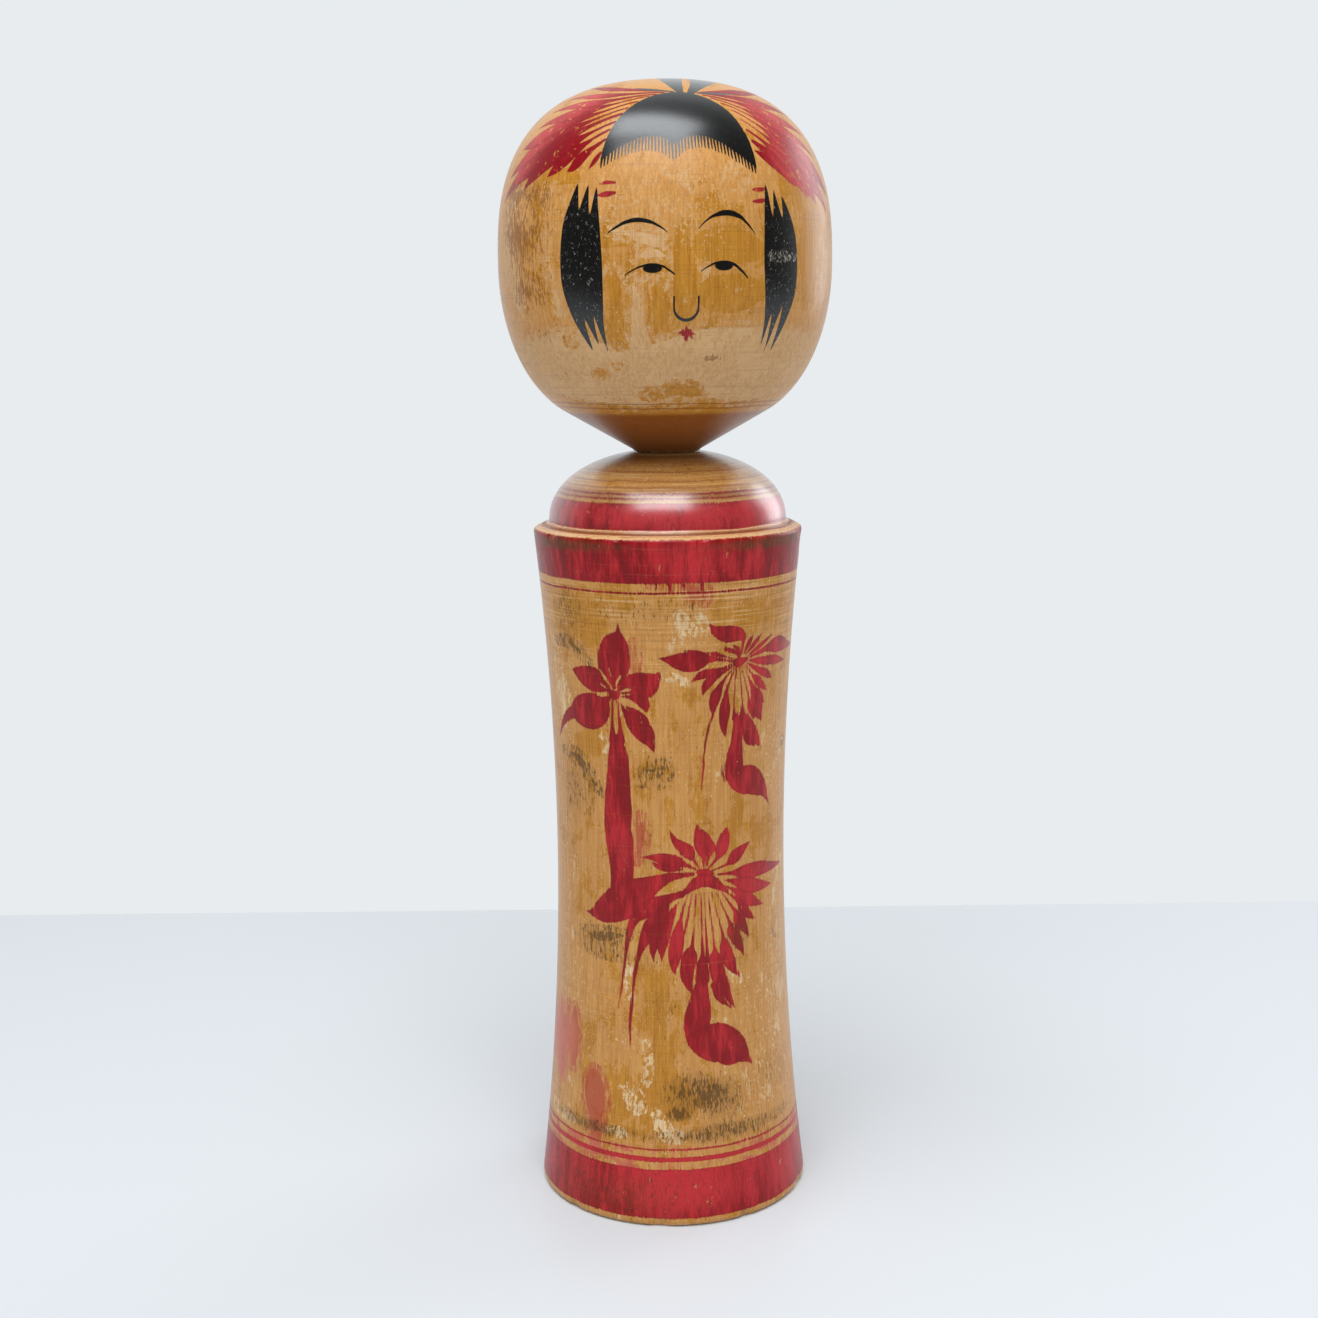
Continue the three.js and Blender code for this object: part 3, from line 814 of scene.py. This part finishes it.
# Dye that water carried over the wood, pink where it is thin, and between the lines above the foot.
run_together = band(15.4, 21.6).least(at.noise(0.16, 0.3, 3).rise(0.46, 0.6) - 0.5)
smear = (kept(at, "smeared").most(run_together) + bleed * 4).rise(-0.3, 0.3) * (0.35 + grain * 0.6)
ground = smear.blend(ground, pale_dye_and_sheen.blend(shade("A41C28"), shade("BE4C50")))

# Fine scores round the shoulder, dark with dirt or rubbed pale.
shoulder = level_mm.rise(135, 172)
scored = at.noise(0.04, 1.9, 4, 0.72)
ground = (scored.rise(0.52, 0.64) * shoulder * 0.45).blend(ground, shade("8A5A1E"))
ground = (scored.rise(0.46, 0.36) * shoulder * 0.5).blend(ground, shade("DDBB84"))
painted = dye.blend(ground, red)

# Grime: short dark hatches along the grain in the soiled places, and a brown haze round them. The dark
# arc on the left flank is a painted shadow, and the haze round the dome's top under the head is painted
# shade.
hatch = at.noise(2.2, 0.4, 4, 0.7) + flakes * 0.5
soil_and_shadow_mask = (kept(at, "soiled") * 0.3 + (hatch - 0.76) * 3).rise(-0.05, 0.2)
streaks = (hatch + kept(at, "grime") * 0.28).rise(0.94, 0.99)
painted = (soil_and_shadow_mask * 0.75).most(streaks * 0.75).blend(painted, shade("3A2004"))
dimmed = (kept(at, "soiled") - at.noise(0.2, 0.2) * 2).rise(-2.0, 1.2) * 0.4
painted = dimmed.most(kept(at, "grime").rise(0.1, 0.9) * 0.3).blend(painted, shade("6A480E"))

# The ledge between rim and dome, with its dirty groove, the dome's thin brown lines, and painted shade
# on the dome's top below the neck.
edges = at.noise(0.8, 0.8, 4, 0.6)
rim_line, groove_line = barrel_height - 0.05, 187.6
painted = (band(barrel_height, 188.4).rise(0, 0.2) * 0.5).blend(painted, shade("A85A3C"))
dome_lines = ring(198.9, 0.3).most(ring(200.4, 0.22), ring(202.6, 0.25), band(195.2, 198.4) * 0.1)
painted = (dome_lines.rise(-0.1, 0.2) * 0.5).blend(painted, shade("7A3A1C"))
# Painted shade: the top of the dome darkens towards the neck, where the head hangs over it.
painted = (up.rise(203, 206) * 0.55).blend(painted, shade("7A4820"))
rim_wear = (abs(level_mm - rim_line) + edges * 1.4 - 0.7).rise(0.45, 0.1)
foot_wear = (level_mm + edges * 7 - 2.9).rise(1.0, 0.3)
painted = rim_wear.most(foot_wear).blend(painted, shade("D2A473"))
groove_dirt = (abs(level_mm - groove_line) + edges * 0.5 - 0.25).rise(0.3, 0.1)
painted = (groove_dirt * 0.6).blend(painted, shade("6A3420"))
bright_edges = ring(188.15, 0.12).most(ring(187.15, 0.1)) + edges * 0.3 - 0.15
painted = (bright_edges.rise(0, 0.1) * 0.85).blend(painted, shade("DDB08C"))
clean_wood = grain.rise(0.35, 0.65).blend(shade("B08450"), shade("C9A06B"))
painted = kept(at, "bare").blend(painted, clean_wood)
gloss = sheen(pores, gone, rings)
bump = relief(at, grain * 0.2 + pores * 0.25 + rings * 0.3 - gone * 0.3)
dull_wax = 0.3
body_shader.inputs["Specular IOR Level"].default_value = dull_wax
body_shader.inputs["Coat Roughness"].default_value = 0.26
body_shader.inputs["Coat IOR"].default_value = 1.9
polish = level_mm.rise(187, 190)
connect(body_shader, Base_Color=painted, Roughness=gloss, Coat_Weight=polish, Normal=bump)
body.data.materials.append(body_material)
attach(body, "body")
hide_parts("body")

# ---------------------------------------------------------------------------------------------------
# The head, turned from one piece with the neck plug whose bulb holds it in the socket. Its foot is a
# cone that rounds into full cheeks, and the crown is a flatter cap. The face looks a little to the
# viewer's right, where someone last turned it.
head_radius = 44.25
cheek_width, cheek_height = 17, 38.6
cheek_low, cheek_high = 10.2, 20
cone_slope = 0.57
crown_height, crown_fullness = 46.4, 2.6

head_foot_height = seat_height + joint_room
cone_foot = np.array([head_foot_radius + head_foot_rounding, head_foot_height + head_foot_rounding])
cone_end = np.array([head_radius - cheek_width, 0])
cone_end[1] = cone_foot[1] + cone_slope * (cone_end[0] - cone_foot[0])
widest = cone_end[1] + cheek_height
lean = np.array([1, cone_slope]) / math.hypot(1, cone_slope)
pull = [cone_end, cone_end + lean * cheek_low, (head_radius, widest - cheek_high), (head_radius, widest)]
t = np.linspace(0, 1, 60)[:, None]
cheek = sum(k * (1 - t) ** (3 - i) * t**i * np.array(p) for i, (k, p) in enumerate(zip((1, 3, 3, 1), pull)))
head_outline = np.vstack([
    [
        (0, plug_nose),
        (bulb_radius - nose_taper, plug_nose),
        (bulb_radius, bulb_foot),
        (bulb_radius, bulb_top),
        (throat_radius, bulb_top + bulb_taper),
        (throat_radius, head_foot_height),
        (head_foot_radius, head_foot_height),
    ],
    [cone_foot],
    cheek,
    crown_curve(head_radius, widest, crown_height, crown_fullness, 0, 240)[1:],
])
head_spacing = [(180, 1.2), (228, 1.0), (232, 0.45), (290, 0.42), (304, 0.45)]
head_bearings = bearings(112, 0.0095, 0.06)
head, head_spots = turned("painted_head", evenly(head_outline, head_spacing), head_bearings)

# The head's paint is laid out on two charts in mm: round the face it is (across, height), and over the
# crown (sideways, forwards) along the surface from the top, with the front at the bottom.
face_spots = np.column_stack([head_spots["bearing"] * head_radius, head_spots["height"]])
from_top = head_spots["run"].max() - head_spots["run"]
head_turns = head_spots["bearing"]
crown_spots = np.column_stack([from_top * np.sin(head_turns), -from_top * np.cos(head_turns)])

# Black ink: three strokes for each side lock, the tuft that runs back from the knot, and the fringe.
side_locks = [
    [(-23, 274.5, 0.1), (-23.7, 270, 1.2), (-24.6, 264, 2.4), (-25.3, 257, 2.5), (-25.2, 250, 2.4),
     (-24.1, 244, 1.9), (-22.7, 239, 1.1), (-20.7, 233.6, 0.1)],
    [(-19.9, 274.3, 0.1), (-20.7, 268.5, 1.2), (-21.5, 262, 2.5), (-21.8, 254, 3.0), (-21.2, 247, 2.5),
     (-20.2, 241, 1.1), (-18.6, 235, 0.1)],
    [(-17.5, 274, 0.1), (-17.8, 269, 0.8), (-18.1, 262, 1.8), (-18.1, 254, 2.2), (-17.9, 246, 1.8),
     (-17.4, 240, 0.9), (-16.4, 233.8, 0.1)],
    [(27.1, 274.6, 0.1), (27.1, 268, 1.0), (27.5, 261, 1.8), (27.8, 254, 2.1), (27.9, 247, 1.5),
     (27.8, 241, 0.8), (27.3, 234.6, 0.1)],
    [(29.4, 272.6, 0.1), (30, 267, 1.2), (30.7, 261, 2.6), (31.1, 254, 2.9), (30.9, 247, 2.3),
     (30.2, 241, 1.0), (29.1, 233.4, 0.1)],
    [(32.1, 271.3, 0.1), (33.3, 266.5, 1.3), (34.4, 261, 2.1), (34.9, 254.5, 2.2), (34.8, 248, 2.1),
     (33.9, 242.5, 1.4), (32.7, 238, 0.8), (31.3, 233.2, 0.1)],
]
tuft = [
    [(4.2, -29, 0.8), (2.8, -24, 1.9), (1.6, -17, 3.0), (1.3, -9, 3.5), (1.3, -1, 3.4), (0.9, 8, 2.9),
     (0.4, 16, 1.8), (-0.4, 24, 0.1)],
    [(6.6, -29, 0.8), (8.2, -24, 1.7), (9.7, -17, 3.0), (10.1, -9, 3.7), (9.8, -1, 3.7), (9.8, 8, 3.2),
     (10.2, 16, 2.0), (11.2, 23, 0.1)],
    [(2.4, -28.6, 0.3), (-1.2, -27.8, 0.5), (-4.6, -26.6, 0.55), (-8, -24.6, 0.1)],
    [(8.4, -28, 0.3), (11.4, -26.8, 0.6), (15, -25, 0.5), (18.4, -22.4, 0.1)],
]
cap_front = -56
cap_outline = [(-23, -54), (-20.6, -49.5), (-17, -43), (-12.6, -37.4), (-7, -32.8), (-1, -29.7), (5, -28.6),
               (11, -29.6), (17.4, -32.8), (22.6, -37.3), (26.6, -42), (29.6, -47), (32, -52)]
locks_ink, _ = brushed(face_spots, side_locks)
tuft_ink, _ = brushed(crown_spots, tuft)
cap_ink = np.clip(below(crown_spots, cap_outline), -1.5, 1.5)
cap_ink[crown_spots[:, 1] < cap_front] = -1.5
charts_meet = 276
on_crown = head_spots["height"] > charts_meet
black = np.where(on_crown, np.maximum(tuft_ink, cap_ink), locks_ink)

# Crimson ribbons that fan out from the knot on both sides, and the two short marks at each temple.
left_ribbon = [
    [(1.2, -28.6, 0.3), (-7, -26.4, 0.7), (-14, -21, 1.3), (-19, -12, 0.2)],
    [(0, -29.2, 0.3), (-9, -28, 0.6), (-17, -24, 1.4), (-25, -15, 0.2)],
    [(-2, -30, 0.3), (-12, -29.4, 0.6), (-20, -26.2, 1.7), (-30, -17, 0.2)],
    [(-4, -30.8, 0.3), (-14, -31, 0.5), (-24, -27.6, 2.2), (-35, -19, 0.2)],
    [(-7, -32.5, 0.3), (-17, -32.6, 0.5), (-27, -29.4, 2.0), (-36, -24.4, 2.4), (-42, -18.6, 0.2)],
    [(-9.5, -34.3, 0.3), (-19, -34.2, 0.5), (-29, -31.8, 1.9), (-39, -27.2, 2.8), (-50, -18.6, 0.2)],
    [(-11.5, -36, 0.5), (-20, -35.8, 0.7), (-30, -34.2, 2.0), (-41, -30, 3.0), (-56.5, -18.6, 0.2)],
    [(-13.4, -38, 0.4), (-21, -38, 0.6), (-30, -37, 2.3), (-39, -34.3, 2.3), (-47.5, -32, 0.1)],
    [(-15.2, -39.8, 0.4), (-21.5, -40.3, 0.6), (-28, -40.2, 2.0), (-33, -40, 1.7), (-37.6, -39.4, 0.1)],
    [(-16.6, -42.2, 0.4), (-21, -42.9, 0.8), (-25.4, -43.5, 1.7), (-28, -44, 1.3), (-30.4, -43.8, 0.2)],
    [(-18.8, -45.2, 0.4), (-21, -46.4, 0.8), (-23.8, -47.7, 0.1)],
]
right_ribbon = [
    [(8.6, -27.8, 0.3), (14.6, -24.2, 1.1), (20, -18.6, 1.7), (25, -9, 0.2)],
    [(9, -28, 0.3), (17, -25.4, 0.9), (25, -20.6, 2.0), (34, -11, 0.2)],
    [(10, -28.6, 0.3), (19, -27, 0.7), (29, -23.4, 2.2), (40, -14, 0.2)],
    [(12, -29.2, 0.3), (21, -28.6, 0.5), (32, -26, 2.3), (46, -16, 0.2)],
    [(15, -30.2, 0.3), (24, -29.9, 0.45), (34, -28.4, 2.0), (45, -23.6, 3.0), (57, -14, 0.2)],
    [(18, -31.5, 0.3), (26, -31.7, 0.45), (35, -31, 1.9), (46, -27.8, 3.1), (60, -19.6, 0.2)],
    [(20.5, -33.5, 0.3), (28, -33.7, 0.45), (36, -33.3, 2.0), (46, -31.3, 2.6), (53.8, -28.8, 0.2)],
    [(23, -36, 0.4), (29, -35.9, 0.7), (36, -35.6, 2.1), (43.6, -34.4, 1.9), (49.6, -33.4, 0.2)],
    [(25.2, -38.3, 0.5), (30, -38.2, 1.4), (35.6, -37.9, 2.0), (40.5, -37.2, 1.6), (44.2, -36, 0.2)],
    [(26.8, -40.5, 0.3), (30, -40.1, 1.0), (34, -39.9, 0.8), (38.4, -39.3, 0.2)],
]
temple_marks = [
    [(-17, 273.9, 0.2), (-15, 274.2, 0.5), (-12.7, 274.1, 0.3)],
    [(-17.2, 271.2, 0.3), (-15, 271.4, 0.75), (-12.6, 271.7, 0.4)],
    [(22.9, 272.4, 0.3), (25, 272.4, 0.6), (27, 272.8, 0.3)],
    [(22.7, 269.5, 0.3), (25, 269.7, 0.6), (27.2, 270.1, 0.3)],
]
ribbon_ink, ribbon_coats = brushed(crown_spots, left_ribbon + right_ribbon)
mouth = [
    [(2.8, 238.1, 0.15), (4, 238.1, 0.4), (5.2, 237.9, 0.5), (6.4, 238, 0.4), (7.6, 237.8, 0.15)],
    [(5.1, 240, 0.1), (5.2, 238.8, 0.5), (5.2, 237.7, 0.7), (5.1, 236.7, 0.5), (5.3, 236, 0.2)],
    [(4.4, 239, 0.2), (4.2, 238.4, 0.5), (4.3, 237.6, 0.4)],
    [(6.2, 239, 0.2), (6.1, 238.4, 0.5), (6.4, 237.3, 0.4), (7, 236.6, 0.2)],
]
marks_ink, _ = brushed(face_spots, temple_marks + mouth)
ribbon_reach = 66
crimson = np.maximum(np.where(from_top < ribbon_reach, ribbon_ink, -1.5), marks_ink)
faded = blots(crown_spots, [(40, -28, 30, 14, 0.6), (-30, -24, 22, 7, 0.7), (40, -37, 8, 5, 0.4)])
faded += blots(face_spots, [(5.2, 238, 5, 5, 0.4), (-15, 273, 5, 4, 0.4), (25, 271, 5, 4, 0.5)])
kept_wax = [
    [(4, 263, 2.0), (4, 257, 3.2), (5, 250, 4.0), (4, 244, 3.4)],
    [(10, 259, 4.5), (16, 259, 5.5), (23, 258, 3.6)],
    [(12, 247.5, 5.0), (18, 247.5, 5.5), (24, 248, 3.6)],
    [(-2.6, 248.5, 2.0), (-1, 244.5, 3.0), (-2, 240.5, 2.2), (-3, 237.4, 1.0)],
    [(-13, 250.6, 2.4), (-12.6, 245, 2.6), (-12.8, 240, 2.6), (-13, 236, 1.6)],
    [(-14.4, 258.4, 0.7), (-10.6, 259.4, 1.4), (-7.4, 258, 0.7)],
    [(-16, 255.6, 0.8), (-13, 256.2, 1.0), (-10, 255.8, 0.5)],
    [(-8.6, 222.6, 0.4), (-5, 223.1, 1.4), (-1.6, 222.6, 1.2)],
    [(0, 223.6, 1.6), (4, 224, 2.2), (9, 223.4, 2.0), (12.4, 222.2, 0.7)],
    [(-22.4, 228, 0.6), (-18.6, 228.4, 0.8)],
    [(-15, 230, 0.3), (-12, 229.6, 0.3)],
    [(-42, 276, 2.0), (-34, 276.4, 2.8), (-25, 276, 2.8)],
    [(-38, 272, 2.4), (-35.4, 267, 2.4), (-36.4, 262, 2.6)],
    [(-45, 263, 2.2), (-40, 259.6, 3.0)],
    [(-40.4, 254, 1.3), (-37, 252.4, 1.5), (-34, 249.4, 1.2), (-31.8, 245, 1.1), (-31.2, 242.6, 0.5)],
    [(-41, 249.4, 1.3), (-37, 247, 1.1)],
    [(-30.2, 273, 0.9), (-29.2, 267.6, 0.9)],
    [(-28.6, 236.4, 0.9), (-26.4, 236, 0.7)],
    [(36, 274, 2.5), (44, 268, 5), (42, 258, 5), (43, 248, 4)],
]
peeled = [
    [(-16.4, 264.4, 1.0), (-12, 262.4, 1.5), (-7, 261.2, 2.0), (-2, 260, 2.4)],
    [(-8, 256.2, 0.8), (-3, 257.2, 1.8), (0, 256.4, 1.2)],
    [(-9.8, 251.2, 0.8), (-6.6, 250.8, 1.3), (-3, 250.6, 1.0), (0.6, 251.6, 0.6)],
    [(-8, 250, 1.1), (-7.4, 245, 2.0), (-7.4, 240, 2.5), (-7.6, 235, 3.0)],
    [(1.6, 250.8, 0.3), (-0.8, 248, 0.6), (-3.2, 245.4, 0.65), (-5, 243, 0.4)],
    [(-16, 253.4, 0.5), (-13, 253.6, 0.65), (-11.4, 254, 0.3)],
    [(9.8, 255.4, 0.3), (9.2, 252, 0.7), (8.4, 249, 0.6), (9.8, 246, 0.7)],
    [(4.4, 276.2, 0.5), (5.2, 274.6, 1.0), (6, 273.4, 0.5)],
    [(-92, 226, 0.1), (-78, 226.6, 1.6), (-64, 227.6, 3.4), (-50, 229, 6.4), (-30, 230, 9.2),
     (-12, 227, 8.0), (0, 228.4, 8.6), (12, 230.6, 9.4), (28, 230, 10), (46, 230, 8), (62, 229, 4),
     (76, 229.6, 1.8), (90, 228, 0.1)],
    [(-74, 233, 0.1), (-60, 234.4, 1.4), (-44, 234, 2.0)],
    [(48, 236, 1.4), (60, 237, 0.8), (72, 236, 0.1)],
    [(-46, 274, 1.6), (-52, 266, 3), (-50, 256, 4), (-46, 246, 3)],
    [(-33, 262, 0.6), (-32.6, 255, 1.0), (-30, 250, 1.0), (-29, 243, 1.6)],
]
waxed, _ = brushed(face_spots, kept_wax, 3)
worn, _ = brushed(face_spots, peeled, 3, 0.5)
worn = np.minimum(worn, -waxed)
head_wax = blots(face_spots, [
    (-6, 270, 14, 6, -0.4), (20, 275, 6, 5, -0.5), (10, 277, 16, 3, -0.5), (-30, 262, 6, 14, -0.4),
    (30, 240, 12, 8, -0.4), (40, 262, 14, 18, 0.5), (-55, 250, 12, 24, -0.5), (0, 218, 60, 2.5, 1.2),
])
head_grime = blots(face_spots, [
    (-42, 261, 9, 6, 0.8), (-38, 249, 8, 6, 0.8), (-37, 272, 8, 5, 0.7), (-50, 268, 7, 8, 0.7),
    (12.5, 231.8, 3, 0.9, 1.3), (-47, 274, 7, 3, 0.5), (-36, 228, 8, 3, 0.4), (-47, 250, 6, 12, 0.4),
    (-20, 222, 10, 3, 0.3), (30, 226, 14, 4, 0.25), (-38, 238, 9, 3, 0.5), (6, 273, 3, 2, 0.4),
    (-6, 265, 9, 3, 0.2), (0, 219.5, 60, 0.8, 0.4), (-34, 265, 6, 10, 0.3),
])
head_specked = blots(face_spots, [(-2, 270, 20, 7, 0.07), (4, 262, 14, 5, 0.05), (-38, 266, 12, 14, 0.05)])
plug = head_spots["height"] < head_foot_height + 0.1
store(head, black=black, dyed=crimson, coats=ribbon_coats, faded=faded, worn=worn, waxed=waxed,
      wax=head_wax, specked=head_specked, grime=head_grime, bare=plug)

head_material, head_shader, at = painted_wood("painted_head_wood")
x, y, z = (at.node("SeparateXYZ", None, {0: at}, axis) for axis in "XYZ")
u = at.math("ARCTAN2", x, 0 - y) * head_radius
ground, gone, grain, pores, rings, flakes = old_wood(at, 1.1, 3.2, kept(at, "specked"), "C0915C", "CFA472")

# The cone is stained brown down to the neck, with two thin rings above the stain.
cone_rings = z + at.noise(0.1, 0.05) * 0.4
stain = cone_rings.rise(218.6, 217.2)
for height, half in ((219.4, 0.2), (220.6, 0.15)):
    stain = stain.most((half - abs(cone_rings - height)).rise(-0.1, 0.1) * 0.7)
ground = (stain * 0.85).blend(ground, shade("7E3E18"))

# Crimson dye for ribbons, temple marks and mouth.
bleed = at.noise(3.0, 0.5, 3, 0.6) * 0.36 - 0.18
inked = kept(at, "dyed") + bleed
pooled = inked.rise(0.9, 0.0) * 0.3 + kept(at, "coats").rise(1.1, 2.4) * 0.45
pale_dye_and_sheen = (kept(at, "faded") + at.noise(0.14, 0.07, 4, 0.6) * 1.2 - 0.66).rise(0.0, 0.8)
red = pale_dye_and_sheen.blend(shade("8A0612"), shade("C03C3C"))
red = (pores.rise(0.46, 0.62) * 0.4).blend(red, shade("64040F"))
red = pooled.blend(red, shade("740614"))
chips = flakes + at.noise(1.2, 0.8, 4, 0.7) * 0.5
chipped = (chips + pale_dye_and_sheen * 0.05).rise(0.88, 0.93)
painted = (inked.rise(-0.12, 0.16) * (1 - chipped * 0.75)).blend(ground, red)


def line(curve, widths, low, high):
    """Ink along a line of the face, as mm inside its edge. curve is the line's height at each place
    across, and widths half its width there, between the places low and high."""
    def read(points):
        base = min(p for _, p in points)
        span = max(p for _, p in points) - base or 1
        unit = [((a - low) / (high - low), (b - base) / span) for a, b in points]
        return at.node("FloatCurve", {"points": unit}, {"Value": (u - low) / (high - low)}) * span + base

    within = (u - low).least(high - u)
    return (read(widths) - abs(z - read(curve))).least(within)


# Brows and lids, then the pupils and the nose.
features = [
    line([(-14.3, 262.2), (-12, 263.6), (-9.5, 264.7), (-7, 265.1), (-4.5, 264.8), (-2, 263.8),
          (0.4, 262.1)],
         [(-14.3, 0.18), (-10, 0.46), (-6.5, 0.55), (-3, 0.4), (0.4, 0.12)], -14.3, 0.4),
    line([(8.1, 262.9), (10, 264.8), (12.5, 266.2), (15.4, 266.7), (18, 266.2), (20.6, 264.4), (23, 261.6)],
         [(8.1, 0.14), (12, 0.42), (15.8, 0.72), (19, 0.55), (23, 0.18)], 8.1, 23),
    line([(-10.2, 252.0), (-8, 253.3), (-6, 254.1), (-3.4, 254.5), (-1, 254.1), (0.6, 253.2),
          (2.2, 252.1)],
         [(-10.2, 0.15), (-6, 0.28), (-3, 0.34), (2.2, 0.14)], -10.2, 2.2),
    line([(8.6, 252.8), (10.5, 254.0), (12.5, 254.8), (14.5, 255.0), (16.6, 254.6), (18.7, 253.3),
          (21, 251.1)],
         [(8.6, 0.15), (13, 0.32), (18.5, 0.42), (21, 0.16)], 8.6, 21),
]
pupil_wide, pupil_high = 2.4, 1.15
for pupil_u, pupil_z in ((-3.3, 253.6), (14.4, 254.1)):
    far = at.math("POWER", (u - pupil_u) / pupil_wide, 2) + at.math("POWER", (z - pupil_z) / pupil_high, 2)
    features.append(0.5 - far * 0.5)
nose_u, nose_z, nose_radius = 5, 244.3, 3.1
nose_top, nose_line = 247, 0.24
under = (z - nose_z).least(0)
curl = at.math("SQRT", (u - nose_u) * (u - nose_u) + under * under)
features.append((nose_line - under * 0.06 - abs(curl - nose_radius)).least(nose_top - z))

# The fringe's comb of fine hairs, which hang from the ink's front edge in two shallow arches.
edge_points = [(-19, 277), (-15, 281.0), (-10, 283.6), (-5, 285.0), (0, 284.6), (2.5, 283.2),
               (5, 284.4), (9, 285.2), (14, 284.2), (19, 281.6), (23, 279), (27, 276)]
tip_points = [(-19, 276), (-15, 278.6), (-10, 280.6), (-5, 281.6), (0, 280.6), (2.5, 279.4),
              (5, 281.2), (9, 282.2), (14, 281.4), (19, 279.2), (23, 277), (27, 275)]


def arch(points):
    """The height of a line across the forehead, for each place across."""
    left, right, floor, rise = -19, 27, 275, 11
    unit = [((a - left) / (right - left), (b - floor) / rise) for a, b in points]
    return at.node("FloatCurve", {"points": unit}, {"Value": (u - left) / (right - left)}) * rise + floor


hair_edge, hair_tip = arch(edge_points), arch(tip_points)
hair_pitch = 0.9
comb_left, comb_right, comb_low, comb_high = -17.6, 26, 275, 286.5
comb = at.math("PINGPONG", u + at.noise(0.5, 0.02) * 0.5, hair_pitch / 2) - hair_pitch / 4
reach_down = (z - hair_tip - at.noise(1.1, 0.01) * 1.2 + 0.6) / (hair_edge - hair_tip)
drawn = kept(at, "black")
comb = (comb + reach_down * 0.2 - 0.06).least(reach_down * 2, drawn + 0.1)
comb = comb.least(u - comb_left, comb_right - u, z - comb_low, comb_high - z)
over_locks = z.rise(charts_meet - 0.1, charts_meet + 0.1) * 3 - 1.5
fringe = drawn.least(over_locks, z - hair_edge)
locks = drawn.least(0 - over_locks)
hair = locks.most(fringe, comb, *features)

# Black ink, glossy where it is whole and scuffed grey in specks, most of all across the right lock.
solid = (hair + bleed * 0.35).rise(-0.07, 0.09)
scuff_height, scuff_from = 256.4, 26
across_lock = (0 - abs(z - scuff_height)).rise(-2.2, -0.6) * u.rise(scuff_from, scuff_from + 1.5)
most_worn = across_lock.most(0.32) * locks.rise(-0.2, 0.3)
scuffed = (at.noise(1.6, 1.1, 6, 0.75, 0.8) + most_worn * 0.13).rise(0.64, 0.68)
scuffed = scuffed * locks.rise(0, 0.3) * 0.6
ink = (pores.rise(0.5, 0.7) * 0.4).blend(shade("0B0A08"), shade("1E1A14"))
painted = solid.blend(painted, scuffed.blend(ink, shade("B9B0A0")))

# Grime in short hatches along the grain, and the plug's clean wood.
hatch = at.noise(1.7, 0.4, 4, 0.7) + flakes * 0.5 + kept(at, "grime") * 0.26
painted = (hatch.rise(0.93, 0.99) * 0.6).blend(painted, shade("6E3A0C"))
clean_wood = grain.rise(0.35, 0.65).blend(shade("A87B48"), shade("C2975F"))
painted = kept(at, "bare").blend(painted, clean_wood)
gloss = sheen(pores, gone, rings)
bump = relief(at, grain * 0.15 + pores * 0.2 + rings * 0.2 - gone * 0.3)
head_shader.inputs["Specular IOR Level"].default_value = dull_wax
head_shader.inputs["Coat Roughness"].default_value = 0.24
connect(head_shader, Base_Color=painted, Roughness=gloss, Coat_Weight=solid, Normal=bump)
head.data.materials.append(head_material)
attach(head, "head")
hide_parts("head")
